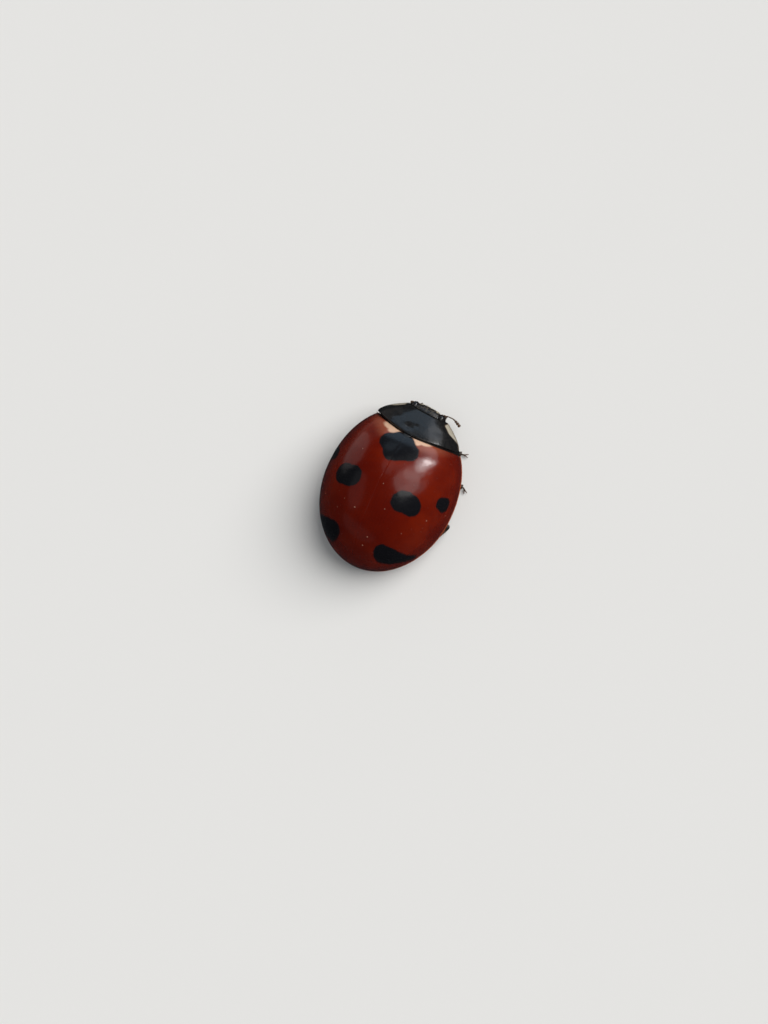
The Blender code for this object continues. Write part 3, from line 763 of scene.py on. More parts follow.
# ---- pronotum -----------------------------------------------------------------
def pronotum_half(t):
    return PRONOTUM_FRONT_HALF + (PRONOTUM_REAR_HALF - PRONOTUM_FRONT_HALF) * (1 - (1 - t) ** 1.65)


def pronotum_surface(q, t, rear=0.030):
    """Outer surface without relief, before the turn of the head."""
    a = np.abs(q)
    x = pronotum_half(t) * q
    y_front = PRONOTUM_FRONT_Y + (PRONOTUM_CORNER_Y - PRONOTUM_FRONT_Y) * a ** 2.0
    y_rear = BASE_Y - rear + shoulder(a)
    y = y_front + (y_rear - y_front) * t
    z_rear = PRONOTUM_EDGE_Z + (float(crown(np.array(BASE_Y - 0.03))) - PRONOTUM_EDGE_Z) * np.sqrt(np.clip(1 - a ** SECTION_EXP, 0, 1))
    z_front = PRONOTUM_EDGE_Z + (PRONOTUM_FRONT_Z - PRONOTUM_EDGE_Z) * np.clip(1 - a ** 2.4, 0, 1) ** 0.6
    z = z_front + (z_rear - z_front) * t * (1 + 0.16 * (1 - t))
    return np.stack([x, y, z + MARGIN_Z], -1)


def pronotum():
    u = np.concatenate([np.linspace(0, 0.06, 18)[:-1], np.linspace(0.06, 0.94, 96)[:-1], np.linspace(0.94, 1, 18)])
    t = np.concatenate([np.linspace(0, 0.05, 9)[:-1], np.linspace(0.05, 0.95, 50)[:-1], np.linspace(0.95, 1, 9)])
    q = np.sin((2 * u - 1) * pi / 2)[None] * np.ones((len(t), 1))
    tt = t[:, None] * np.ones_like(q)
    p = pronotum_surface(q, tt)
    step = np.linalg.norm(np.diff(p, axis=1), axis=2)
    s = np.concatenate([np.zeros((len(t), 1)), np.cumsum(step, axis=1)], axis=1)
    to_edge = np.minimum(s, s[:, -1:] - s)
    normal = grid_normals(p)
    normal = normal * np.sign(normal[len(t) // 2, len(u) // 2, 2])
    round_front = np.sqrt(np.clip(1 - (1 - np.clip(t / 0.045, 0, 1)) ** 2, 0, 1))
    round_rear = np.sqrt(np.clip(1 - (1 - np.clip((1 - t) / 0.04, 0, 1)) ** 2, 0, 1))
    r = np.maximum(round_front * round_rear, 0.02)[:, None]
    h = -0.045 * (1 - r) - 0.005
    h = h - 0.022 * np.exp(-((to_edge - 0.075) / 0.025) ** 2) + 0.006 * np.exp(-((to_edge - 0.025) / 0.02) ** 2)
    # two shallow dents, a small pit and gentle waves
    x, y = p[..., 0], p[..., 1]
    h = h - 0.018 * np.exp(-(((np.abs(x) - 0.95) / 0.22) ** 2 + ((y + 0.72) / 0.16) ** 2))
    h = h - 0.028 * np.exp(-(((x + 0.09) / 0.075) ** 2 + ((y + 0.54) / 0.070) ** 2))
    h = h + 0.016 * np.exp(-(((x + 0.10) / 0.030) ** 2 + ((y + 0.55) / 0.030) ** 2))
    h = h - 0.042 * np.exp(-(((x - 0.17) / 0.17) ** 2 + ((y + 0.38) / 0.13) ** 2))
    h = h + 0.0035 * noise(p, 1.6) + 0.0015 * noise(p, 4.0, 3.0)
    outer = p + normal * h[..., None]
    left, right = p[:, 0], p[:, -1]      # u = 0 is the animal's right
    rim = []
    flange = 0.40 * np.clip(pronotum_half(t) / 1.6, 0, 1) * np.maximum(r[:, 0], 0.1)
    for edge_pts, sx, order in ((right, -1, 1), (left, 1, -1)):
        part = []
        for d, z in ((0.012, -0.014), (0.036, -0.022), (0.065, -0.016)):
            part.append(edge_pts + np.array([sx, 0, 0]) * d + np.array([0, 0, 1]) * z)
        for fr, z in ((0.35, -0.002), (0.6, 0.012), (0.85, 0.030), (1.0, 0.050), (0.95, 0.075), (0.6, 0.085)):
            part.append(edge_pts + np.array([sx, 0, 0]) * (flange * fr)[:, None] + np.array([0, 0, 1]) * z)
        rim.append(part[::order])
    inner_u = np.clip(np.searchsorted(u, np.linspace(0.90, 0.10, 40)), 0, len(u) - 1)
    inner = (p - normal * (0.13 * r + 0.004)[..., None])[:, inner_u]
    rows = np.concatenate([outer, np.stack(rim[0], 1), inner, np.stack(rim[1], 1)], 1)
    n_o, n_r, n_i = outer.shape[1], len(rim[0]), inner.shape[1]
    # white corners: width over the side of the shield at t, thin dark border outside
    width = 0.215 * smooth(0.0, 0.17, tt) * smooth(0.66, 0.34, tt)
    plan = pronotum_half(tt) * (1 - np.abs(q))
    white = np.full(rows.shape[:2], -9.0)
    white[:, :n_o] = np.minimum(width - plan, (to_edge - 0.045) * 1.2)
    patch = (0.22 * smooth(0.03, 0.15, t) * smooth(0.55, 0.35, t))[:, None]
    white[:, n_o + 2:n_o + n_r] = patch - 0.06
    white[:, n_o + n_r + n_i:-2] = patch - 0.06
    rows = turned(rows)
    verts, faces = loft(rows, fan=False)
    b = Build()
    b.add(verts, faces, 0, white=white.ravel())
    return b.done("pronotum_shield", [PRONOTUM], ["pronotum"])


pronotum()


# ---- head ---------------------------------------------------------------------
def head():
    nu, nv = 220, 150
    rows = ball((0, 0, 0), (1, 1, 1), nu=nu, nv=nv)
    d = unit(rows)
    k = (np.abs(d) ** HEAD_EXP).sum(-1, keepdims=True) ** (-1 / HEAD_EXP)
    radii = np.array([HEAD_RADII[0] - 0.03, HEAD_RADII[1] - 0.02, HEAD_RADII[2] - 0.03])
    p = d * k * radii + np.array(HEAD_CENTRE)
    x, y, z = p[..., 0], p[..., 1], p[..., 2]
    front = smooth(-1.15, -1.40, y)
    # the face leans back below, leaving room for the mouthparts, and is a little domed above
    push = 0.20 * smooth(0.92, 0.62, z) * smooth(-0.9, -1.3, y)
    p[..., 1] += push
    p[..., 1] += 0.06 * smooth(1.25, 1.65, z) * front
    # cheeks narrow downwards
    p[..., 0] *= 1 - 0.20 * smooth(1.15, 0.60, z)
    normal = unit(d * np.abs(d) ** 0.7 * np.sign(1))
    normal = unit(p - np.array(HEAD_CENTRE))
    h = np.zeros_like(x)
    ax = np.abs(p[..., 0])
    yy, zz = p[..., 1], p[..., 2]
    for cx in (1,):
        e = np.sqrt(((ax - EYE_CENTRE[0]) / (EYE_RADII[0] + 0.02)) ** 2 + ((yy - EYE_CENTRE[1]) / (EYE_RADII[1] + 0.02)) ** 2
                    + ((zz - EYE_CENTRE[2]) / (EYE_RADII[2] + 0.02)) ** 2)
        h -= 0.06 * smooth(1.02, 0.80, e)
        h += 0.012 * np.exp(-((e - 1.13) / 0.07) ** 2)
    h -= 0.018 * np.exp(-((p[..., 0] / 0.20) ** 2 + ((zz - 1.42) / 0.16) ** 2)) * front
    curve = 0.955 + 0.06 * (p[..., 0] / 0.4) ** 2
    h -= 0.016 * np.exp(-((zz - curve) / 0.014) ** 2) * front * smooth(0.50, 0.36, ax)
    h += 0.020 * smooth(curve, curve - 0.05, zz) * smooth(0.74, 0.80, zz) * front * smooth(0.46, 0.36, ax)
    h -= 0.050 * np.exp(-(((ax - 0.44) / 0.065) ** 2 + ((zz - 0.965) / 0.065) ** 2)) * front
    h += 0.016 * np.exp(-(((np.hypot(ax - 0.44, zz - 0.965) - 0.095) / 0.022) ** 2)) * front
    h -= 0.010 * np.exp(-(p[..., 0] / 0.012) ** 2) * front * smooth(1.45, 1.6, zz)
    h += 0.004 * noise(p, 3.0) + 0.0015 * noise(p, 9.0, 2.0)
    p = p + normal * h[..., None]
    spots = 0.062 - np.hypot((ax - 0.355) * 1.1, (zz - 1.27) * 0.75)
    pale = np.where(front > 0.2, spots, -9.0)
    b = Build()
    v, f = loft(turned(p))
    b.add(v, f, 0, pale=np.concatenate([pale.ravel(), [-9.0, -9.0]]))
    # short pale hairs on the face
    keep = np.argwhere((front > 0.5) & (zz > 0.95) & (zz < 1.62) & (ax < 0.45))
    take = keep[rng.choice(len(keep), 170, replace=False)]
    roots = turned(p)[take[:, 0], take[:, 1]]
    dirs = turned(normal)[take[:, 0], take[:, 1]] * 0.7 + turned(np.array([0, -0.2, -0.75]))
    setae(b, roots, dirs, 0.055 + 0.02 * rng.random(len(roots)), 0.0035, 1)
    b.done("head_capsule", [HEAD, HAIR], ["head"])


head()

# compound eyes with real facets
count = 620
i = np.arange(count) + 0.5
polar = np.arccos(1 - 2 * i / count)
golden = pi * (1 + 5 ** 0.5) * i
facets = np.stack([np.cos(golden) * np.sin(polar), np.sin(golden) * np.sin(polar), np.cos(polar)], -1)
for side, word in ((1, "left"), (-1, "right")):
    rows = ball((0, 0, 0), (1, 1, 1), nu=150, nv=100)
    d = unit(rows)
    near = np.sort(((d.reshape(-1, 1, 3) - facets[None]) ** 2).sum(-1), axis=1)[:, :2]
    gap = (np.sqrt(near[:, 1]) - np.sqrt(near[:, 0])).reshape(d.shape[:2])
    bulge = 0.0045 * np.clip(gap / 0.06, 0, 1) ** 0.6
    p = d * (np.array(EYE_RADII) - 0.004 + bulge[..., None] - 0.004)
    c = np.array([EYE_CENTRE[0] * side, EYE_CENTRE[1], EYE_CENTRE[2]])
    b = Build()
    v, f = loft(turned(p * np.array([side, 1, 1]) + c))
    b.add(v, f)
    b.done("compound_eye_" + word, [EYE], ["eye_" + word])

# ---- mouthparts ---------------------------------------------------------------
b = Build()


def plate(b, centre, radii, mat, exp=2.6, axes=None, bumpy=0.003, nu=48, nv=30):
    p = ball(centre, radii, exp=exp, nu=nu, nv=nv, axes=axes)
    p = p + unit(p - np.asarray(centre)) * (bumpy * noise(p, 8.0))[..., None]
    v, f = loft(turned(p))
    b.add(v, f, mat)
    return p


plate(b, (0, -1.475, 0.765), (0.30, 0.055, 0.060), 1)                    # clypeus, front border
labrum = plate(b, (0, -1.475, 0.665), (0.225, 0.050, 0.075), 0)          # upper lip
plate(b, (0, -1.30, 0.47), (0.17, 0.12, 0.055), 0)                        # mentum
plate(b, (0, -1.43, 0.47), (0.095, 0.075, 0.045), 0)                      # lower lip
for side in (1, -1):
    rows = limb([(0.27 * side, -1.30, 0.60), (0.26 * side, -1.42, 0.575), (0.15 * side, -1.50, 0.565), (0.02 * side, -1.515, 0.560)],
                (0.085, 0.085, 0.055, 0.020), (0.060, 0.055, 0.040, 0.018), m=36, n=22)
    v, f = loft(turned(rows))
    b.add(v, f, 2)
    plate(b, (0.235 * side, -1.285, 0.50), (0.075, 0.125, 0.060), 0)      # maxilla
    for pts, w in (([(0.10, -1.46, 0.455), (0.115, -1.50, 0.43)], 0.024), ([(0.115, -1.50, 0.43), (0.125, -1.54, 0.40)], 0.026),
                   ([(0.125, -1.54, 0.40), (0.13, -1.575, 0.37)], 0.022)):
        rows = limb([(p[0] * side, p[1], p[2]) for p in pts], (w * 0.8, w, w * 0.85), (w * 0.8, w, w * 0.85), m=14, n=14)
        v, f = loft(turned(rows))
        b.add(v, f, 0)
p = labrum[labrum[..., 2] < 0.64]
take = p[rng.choice(len(p), 26, replace=False)]
setae(b, turned(take), turned(np.array([0, -0.5, -0.8]) + 0.3 * rng.normal(size=(26, 3))), 0.05, 0.003, 3)
b.done("mouth", [MOUTH, HEAD, CLAW, HAIR], ["mouthparts"])

for side, word in ((1, "left"), (-1, "right")):
    b = Build()
    s = lambda pts: [(p[0] * side, p[1], p[2]) for p in pts]
    for pts, w, h in (
            ([(0.33, -1.27, 0.545), (0.38, -1.31, 0.520)], (0.045, 0.05, 0.042), (0.045, 0.05, 0.042)),
            ([(0.385, -1.315, 0.52), (0.46, -1.36, 0.475), (0.52, -1.40, 0.43)], (0.036, 0.050, 0.062, 0.050), (0.036, 0.046, 0.050, 0.042)),
            ([(0.525, -1.405, 0.425), (0.56, -1.435, 0.385)], (0.038, 0.054, 0.046), (0.036, 0.046, 0.040))):
        v, f = loft(turned(limb(s(pts), w, h, m=24, n=18)))
        b.add(v, f, 0)
    # last segment is an axe: it widens to a slanting, flat-cut end
    rows = limb(s([(0.565, -1.440, 0.38), (0.585, -1.475, 0.325), (0.59, -1.50, 0.245)]), (0.040, 0.075, 0.112, 0.128, 0.118), (0.036, 0.045, 0.046, 0.042, 0.034),
                m=34, n=26, up=(side, 0.3, 0.1), ends=(1.0, 0.35), power=2.5)
    v, f = loft(turned(rows))
    b.add(v, f, 0)
    r, o, al = pick(rows, 60, 0.2, 0.95)
    setae(b, turned(r), turned(o * 0.5 + al), 0.035, 0.0028, 1)
    b.done("maxillary_palp_" + word, [MOUTH, HAIR], ["palp_" + word])

    # ---- antenna: scape, pedicel, six short joints and a three-jointed club --------
    b = Build()
    if word == "left":      # held down in front of the face
        line = spline([(0.450, -1.445, 0.955), (0.55, -1.475, 0.885), (0.70, -1.465, 0.77), (0.86, -1.435, 0.63), (1.04, -1.400, 0.44)], 400)
    else:                   # held out to the side
        line = spline([(-0.450, -1.445, 0.955), (-0.60, -1.515, 0.905), (-0.80, -1.575, 0.85), (-1.05, -1.570, 0.80), (-1.40, -1.430, 0.765)], 400)
    lengths = np.array([0.165, 0.095, 0.110, 0.075, 0.070, 0.062, 0.062, 0.062, 0.110, 0.115, 0.125])
    widths = np.array([0.052, 0.040, 0.030, 0.028, 0.029, 0.030, 0.032, 0.036, 0.058, 0.072, 0.066])
    cuts = np.concatenate([[0], np.cumsum(lengths)]) / lengths.sum()
    for j in range(11):
        a0, a1 = cuts[j], cuts[j + 1]
        pts = [line[int(a0 * 399)], line[int((a0 + a1) / 2 * 399)], line[int(a1 * 399)]]
        w = widths[j]
        shape = {0: (0.72, 0.95, 1.0, 0.80), 1: (0.7, 1.0, 1.0, 0.8)}.get(j, (0.55, 0.75, 1.0, 0.92) if j < 8 else (0.45, 0.8, 1.0, 0.92))
        if j == 10:
            shape = (0.5, 0.9, 1.0, 0.72)
        rows = limb(pts, [w * q for q in shape], [w * q * (0.8 if j > 7 else 1) for q in shape], m=20, n=18, ends=(0.7, 0.6))
        v, f = loft(turned(rows))
        b.add(v, f, 0)
        many = 34 if j > 7 else 12
        r, o, al = pick(rows, many, 0.25, 0.9)
        setae(b, turned(r), turned(o * 0.7 + al * 0.8), 0.030 + 0.012 * rng.random(many), 0.0026, 1)
    b.done("feeler_" + word, [ANTENNA, HAIR], ["antenna_" + word])


# ---- legs ---------------------------------------------------------------------
def leg(pair, side, word):
    hip, knee, ankle, toe = [np.array(p, float) for p in LEGS[pair][:3]] + [np.array([*LEGS[pair][3], 0.24])]
    if pair == "hind":
        knee[0] += 0.15
    for p in (hip, knee, ankle, toe):
        p[0] *= side
    if pair == "front":
        hip, knee = turned(hip), turned(knee)
    reach = unit(knee - hip)
    up = np.array([0, 0, 1.0])
    # coxa, trochanter and femur
    b = Build()
    inward = np.array([-side, 0.12, 0.15])
    cx = {"front": (0.20, 0.15, 0.17), "mid": (0.23, 0.17, 0.16), "hind": (0.34, 0.16, 0.14)}[pair]
    across = unit(np.array([1.0, 0.25 * side, 0.0]))
    axes = (across, np.cross(up, across), up)
    coxa = ball(hip + inward * 0.05 + np.array([0, 0, 0.07]), cx, exp=2.2, nu=36, nv=24, axes=axes)
    coxa = coxa + unit(coxa - hip) * (0.003 * noise(coxa, 7.0))[..., None]
    v, f = loft(coxa)
    b.add(v, f, 0)
    trochanter = limb([hip - reach * 0.02 - up * 0.04, hip + reach * 0.20 - up * 0.02], (0.095, 0.125, 0.115, 0.10), (0.09, 0.11, 0.10, 0.09), m=20, n=20)
    v, f = loft(trochanter)
    b.add(v, f, 0)
    length = np.linalg.norm(knee - hip)
    bow = unit(np.cross(reach, up)) * 0.05 * side
    femur = limb([hip + reach * 0.13, hip + reach * length * 0.5 + bow * 0.6, knee + reach * 0.06],
                 (0.105, 0.165, 0.195, 0.205, 0.195, 0.165, 0.12), (0.085, 0.125, 0.145, 0.150, 0.140, 0.120, 0.095),
                 m=64, n=32, ends=(0.6, 0.9), bumps=0.002)
    v, f = loft(femur)
    b.add(v, f, 0)
    r, o, al = pick(femur, 150, 0.15, 0.95)
    setae(b, r, o * 0.45 + al, 0.045 + 0.025 * rng.random(len(r)), 0.0030, 1)
    b.done("thigh_%s_%s" % (pair, word), [LEG, HAIR], ["leg_%s_%s_femur" % (pair, word)])

    # tibia with its two end spurs and a fringe of stiff hairs
    b = Build()
    shank = unit(ankle - knee)
    out = unit(np.cross(shank, up)) * side
    mid = (knee + ankle) / 2 + up * 0.03 + out * 0.02
    tibia = limb([knee + shank * 0.02, mid, ankle + shank * 0.03], (0.070, 0.085, 0.100, 0.112, 0.122, 0.118), (0.065, 0.075, 0.082, 0.086, 0.088, 0.082),
                 m=54, n=26, ends=(0.9, 0.45), bumps=0.002)
    v, f = loft(tibia)
    b.add(v, f, 0)
    r, o, al = pick(tibia, 230, 0.12, 0.97)
    late = rng.random(len(r))
    setae(b, r, o * (0.55 + 0.3 * late[:, None]) + al, 0.055 + 0.035 * late, 0.0032, 1)
    for k in (-1, 1):
        base = ankle + shank * 0.02 + out * 0.07 * k - up * 0.03
        spur = limb([base, base + shank * 0.05 + out * 0.012 * k - up * 0.012, base + shank * 0.10 - up * 0.045], (0.015, 0.013, 0.004), (0.015, 0.013, 0.004), m=12, n=10)
        v, f = loft(spur)
        b.add(v, f, 2)
    b.done("shin_%s_%s" % (pair, word), [LEG, HAIR, CLAW], ["leg_%s_%s_tibia" % (pair, word)])

    # tarsus: two broad padded joints, a tiny one, a long one and two claws
    b = Build()
    along = unit(toe - np.array([ankle[0], ankle[1], 0.24]))
    span = np.linalg.norm((toe - ankle)[:2]) + (0.33 if pair == "mid" else 0.22)
    curl = np.cross(up, along) * side * (0.01 if pair == "mid" else -0.04 if pair == "front" else 0.03)
    start = np.array([ankle[0], ankle[1], 0.008])
    hook = np.array([-0.30 * side, 0.80, 0.0]) * (pair == "mid")
    at = lambda f, z: start + along * span * f - curl * math.sin(f * pi) * 0.6 + up * z + hook * max(0.0, f - 0.42) ** 2
    j1 = limb([at(0.00, 0.200), at(0.13, 0.135), at(0.27, 0.105)], (0.055, 0.078, 0.100, 0.108), (0.050, 0.058, 0.060, 0.052), m=30, n=24, ends=(0.9, 0.5))
    j2 = limb([at(0.25, 0.120), at(0.37, 0.100), at(0.50, 0.080)], (0.050, 0.082, 0.112, 0.106), (0.044, 0.050, 0.050, 0.036), m=30, n=24, ends=(0.8, 0.5))
    j3 = limb([at(0.43, 0.130), at(0.50, 0.128)], (0.035, 0.038, 0.034), (0.032, 0.034, 0.030), m=12, n=14)
    j4 = limb([at(0.47, 0.135), at(0.62, 0.150), at(0.80, 0.115)], (0.026, 0.030, 0.036, 0.040), (0.025, 0.028, 0.034, 0.036), m=28, n=18)
    for rows in (j1, j2, j3, j4):
        v, f = loft(rows)
        b.add(v, f, 0)
        many = 46 if rows is not j3 else 6
        r, o, al = pick(rows, many, 0.15, 0.9)
        setae(b, r, o * 0.6 + al * 0.9, 0.035 + 0.025 * rng.random(many), 0.0028, 1)
    for rows in (j1, j2):      # dense pads underneath
        r, o, al = pick(rows, 420, 0.30, 0.98, want=lambda p, o: o[:, 2] < -0.35)
        setae(b, r, o + al * 0.35, np.clip(r[:, 2] * 0.75, 0.012, 0.045), 0.0034, 1, bend=0.05)
    end = unit(at(0.85, 0) - at(0.75, 0))
    for k in (-1, 1):
        side_dir = np.cross(end, up) * k
        root = at(0.79, 0.110) + side_dir * 0.018
        tip = [root, root + end * 0.045 + side_dir * 0.030 + up * 0.018, root + end * 0.095 + side_dir * 0.046 - up * 0.010,
               root + end * 0.118 + side_dir * 0.046 - up * 0.070]
        v, f = loft(limb(tip, (0.022, 0.019, 0.013, 0.004), (0.024, 0.022, 0.014, 0.004), m=20, n=12, ends=(0.6, 1.0)))
        b.add(v, f, 2)
        tooth = [root + end * 0.030 + side_dir * 0.022, root + end * 0.055 + side_dir * 0.030 - up * 0.035]
        v, f = loft(limb(tooth, (0.018, 0.012, 0.005), (0.018, 0.012, 0.005), m=10, n=10))
        b.add(v, f, 2)
    b.done("foot_%s_%s" % (pair, word), [TARSUS, HAIR, CLAW], ["leg_%s_%s_tarsus" % (pair, word)])


for pair in LEGS:
    for side, word in ((1, "left"), (-1, "right")):
        leg(pair, side, word)


# ---- trunk --------------------------------------------------------------------
def belly(y):
    return np.interp(y, (-1.2, 0.0, 1.2, 2.3, 4.0, 5.25), (0.70, 0.64, 0.58, 0.60, 0.70, 0.90))


def inset_curve(fn, y0, y1, by, n=300):
    s = np.sin(np.linspace(0, pi / 2, n))
    ys = y0 + (y1 - y0) * s
    fs = fn(ys)
    ty, tf = np.gradient(ys), np.gradient(fs)
    length = np.hypot(ty, tf)
    yy, ff = ys + by * tf / length, fs - by * ty / length
    keep = np.concatenate([[True], np.diff(np.maximum.accumulate(yy)) > 1e-6])
    return yy[keep], np.maximum(ff[keep], 0.0)


wide_y, wide_x = inset_curve(half_width, -1.0, ELYTRA_LENGTH, 0.49)
high_y, high_z = inset_curve(crown, -1.0, ELYTRA_LENGTH, 0.56)


def trunk(y0, y1, rows, relief, bend, ease, n=176, cut=0.0):
    """Closed rings of the thorax or abdomen: plain above, where the wing cases hide it, and in relief below."""
    a = np.concatenate([np.linspace(0, pi, 40, endpoint=False), np.linspace(pi, 2 * pi, n - 40, endpoint=False)]) + 0.004
    c, s = np.cos(a), np.sin(a)
    q = np.abs(c) ** (2 / SECTION_EXP)
    out = []
    for i in range(rows):
        t = i / (rows - 1)
        f = math.sin(t * pi / 2) if ease else t
        y = y0 + (y1 - y0) * f
        yy = y + bend * (1 - t) ** 2 * (shoulder(q) - math.tan(HEAD_TURN) * np.interp(y, wide_y, wide_x) * np.copysign(q, c))
        x = np.interp(yy, wide_y, wide_x) * np.copysign(q, c)
        peak = MARGIN_Z + np.interp(yy, high_y, high_z)
        side_z = MARGIN_Z - 0.01
        z = np.where(s > 0, side_z + (peak - side_z) * np.abs(s), side_z - (side_z - belly(y)) * np.abs(s) ** 0.8)
        p = np.stack([x, yy, z], -1)
        h = np.where(s < 0, relief(x, yy), 0.0) * smooth(0.0, 0.12, -s)
        p[:, 2] -= h
        out.append(p)
    return np.array(out)


def groove(d, width=0.014):
    return -np.exp(-(d / width) ** 2)


def thorax_relief(x, y):
    ax = np.abs(x)
    h = 0.030 * groove(x, 0.020) * smooth(1.15, 1.35, y)                                  # middle line of the metasternum
    line = 1.52 - 0.10 * (y - 1.2)
    h = h + 0.030 * groove(ax - line, 0.020) * smooth(0.55, 0.75, y)                      # side plates
    h = h + 0.028 * groove(y - 0.52 - 0.10 * ax, 0.018) * smooth(0.25, 0.45, ax)          # between meso- and metathorax
    h = h + 0.024 * groove(y - 1.00 + 0.16 * (ax - 1.5), 0.018) * smooth(line, line + 0.04, ax)
    h = h + 0.030 * np.exp(-((y - 1.55) / 0.50) ** 2 - ((ax - 0.55) / 0.50) ** 2)         # swollen halves of the metasternum
    h = h - 0.060 * np.exp(-(((ax - 0.70) / 0.34) ** 2 + ((y - 0.85) / 0.23) ** 2))       # hollows that hold the middle coxae
    h = h - 0.050 * np.exp(-(((ax - 0.66) / 0.46) ** 2 + ((y - 2.16) / 0.20) ** 2))       # and the hind ones
    p = np.stack([x, y, x * 0], -1)
    return h + 0.004 * noise(p, 3.2) + 0.002 * noise(p, 8.0, 4.0)


b = Build()
rows = trunk(0.05, 2.372, 150, thorax_relief, 1.0, False)
x, y, z = rows[..., 0], rows[..., 1], rows[..., 2]
pale = np.minimum(0.30 - np.abs(np.abs(x) - 1.78) * 0.9, 0.26 - np.abs(y - 0.42 + 0.25 * (np.abs(x) - 1.7)))
pale = np.where(z < 1.06, np.minimum(pale, 0.1), -9.0)
v, f = loft(rows)
b.add(v, f, 0, pale=np.concatenate([pale.ravel(), [-9, -9]]))
low = np.argwhere((z < 0.92) & (pale < -0.05))
take = low[rng.choice(len(low), 900, replace=False)]
roots = rows[take[:, 0], take[:, 1]]
setae(b, roots, np.array([0, 0.85, -0.42]) + 0.12 * rng.normal(size=roots.shape), 0.055 + 0.03 * rng.random(len(roots)), 0.0030, 1, bend=0.0)
b.done("breast", [BODY, HAIR], ["thorax"])

SEAMS = (3.02, 3.50, 3.95, 4.38, 4.80)


def abdomen_relief(x, y):
    bow = y + 0.045 * x * x * 0.35
    h = np.zeros_like(x)
    for k, seam in enumerate(SEAMS):
        d = bow - seam
        h = h + 0.020 * smooth(-0.40, 0.0, d) * (d <= 0) + 0.034 * groove(d - 0.004, 0.016)
    ring = np.abs(np.hypot(x / 1.35 - np.copysign(0.35, x), (y - 2.42) / 0.50) - 0.85)
    h = h + 0.014 * groove(ring, 0.03) * (y < 2.98)                                       # curved line behind each hind coxa
    p = np.stack([x, y, x * 0], -1)
    return h + 0.004 * noise(p, 3.0, 9.0) + 0.002 * noise(p, 9.0, 1.0)


b = Build()
rows = trunk(2.388, 5.345, 240, abdomen_relief, 0.0, True, n=150)
x, y, z = rows[..., 0], rows[..., 1], rows[..., 2]
v, f = loft(rows)
b.add(v, f, 0, pale=-9.0)
low = np.argwhere(z < 0.97)
take = low[rng.choice(len(low), 1300, replace=False)]
roots = rows[take[:, 0], take[:, 1]]
setae(b, roots, np.array([0, 0.88, -0.40]) + 0.12 * rng.normal(size=roots.shape), 0.050 + 0.03 * rng.random(len(roots)), 0.0030, 1, bend=0.0)
b.done("belly", [BODY, HAIR], ["abdomen"])

# prothorax from below: broad plate with two fine keels between the front legs
b = Build()
n = 150
a = np.concatenate([np.linspace(0, pi, 40, endpoint=False), np.linspace(pi, 2 * pi, n - 40, endpoint=False)]) + 0.004
c, s = np.cos(a), np.sin(a)
q = np.abs(c) ** (2 / SECTION_EXP)
rows = []
for t in np.linspace(0.30, 1.0, 70):
    mid = pronotum_surface(np.array(0.0), np.array(t))
    y = mid[1] + shoulder(q) * smooth(0.42, 1.0, t)
    wide = pronotum_half(t) - 0.42 - 0.10 * smooth(0.5, 0.3, t)
    peak = max(mid[2] - 0.30, MARGIN_Z + 0.12)
    x = wide * np.copysign(q, c)
    side_z = MARGIN_Z + 0.05
    low_z = belly(mid[1]) + 0.02
    z = np.where(s > 0, side_z + (peak - side_z) * np.abs(s), side_z - (side_z - low_z) * np.abs(s) ** 0.8)
    keel = 0.022 * np.exp(-((np.abs(x) - 0.10) / 0.018) ** 2) * smooth(0.35, 0.5, t)
    hollow = -0.05 * np.exp(-(((np.abs(x) - 0.42) / 0.22) ** 2 + ((y + 0.40) / 0.20) ** 2))
    z = z - np.where(s < 0, keel + hollow + 0.004 * noise(np.stack([x, y, x * 0], -1), 4.0), 0) * smooth(0, 0.1, -s)
    rows.append(np.stack([x, y, z], -1))
rows = turned(np.array(rows))
v, f = loft(rows)
b.add(v, f, 0, pale=-9.0)
# dark hinge skin under the joint between the shield and the wing cases
band = []
for q in np.sin(np.linspace(-0.985, 0.985, 160) * pi / 2):
    sd = 1 if q >= 0 else -1
    y = BASE_Y - 0.5 * 0.05 + float(shoulder(q)) - sd * PRONOTUM_REAR_HALF * abs(q) * math.tan(HEAD_TURN)
    p = np.array([float(half_width(np.array(y))) * q, y, MARGIN_Z + float(crown(np.array(y))) * math.sqrt(max(1 - abs(q) ** SECTION_EXP, 0))])
    inn = unit(np.array([0, y, MARGIN_Z - 0.4]) - p)
    band.append([p + inn * d + np.array([0, g, 0]) for d, g in ((0.075, -0.10), (0.065, -0.04), (0.065, 0.04), (0.075, 0.10),
                                                               (0.16, 0.17), (0.30, 0.15), (0.34, 0.0), (0.30, -0.15), (0.16, -0.17))])
v, f = loft(np.array(band))
b.add(v, f, 0, pale=-9.0)
low = np.argwhere(rows[..., 2] < 0.95)
take = low[rng.choice(len(low), 260, replace=False)]
roots = rows[take[:, 0], take[:, 1]]
setae(b, roots, np.array([0, 0.80, -0.5]) + 0.15 * rng.normal(size=roots.shape), 0.055, 0.0030, 1, bend=0.0)
b.done("throat", [BODY, HAIR], ["prosternum"])

# ---- floor, lights, camera ----------------------------------------------------
m, t, bsdf, co = new_material("floor_pale")
t.links.new(mix(t, noise_tex(t, co, 0.05, 3.0), (0.785, 0.780, 0.765), (0.800, 0.795, 0.780)), bsdf.inputs["Base Color"])
bsdf.inputs["Roughness"].default_value = 0.95
bsdf.inputs["Specular IOR Level"].default_value = 0.1
bm = bmesh.new()
bmesh.ops.create_circle(bm, cap_ends=True, cap_tris=False, segments=96, radius=0.60)
mesh = bpy.data.meshes.new("floor")
bm.to_mesh(mesh)
bm.free()
mesh.materials.append(m)
floor = bpy.data.objects.new("floor", mesh)
bpy.context.scene.collection.objects.link(floor)
floor.visible_glossy = False

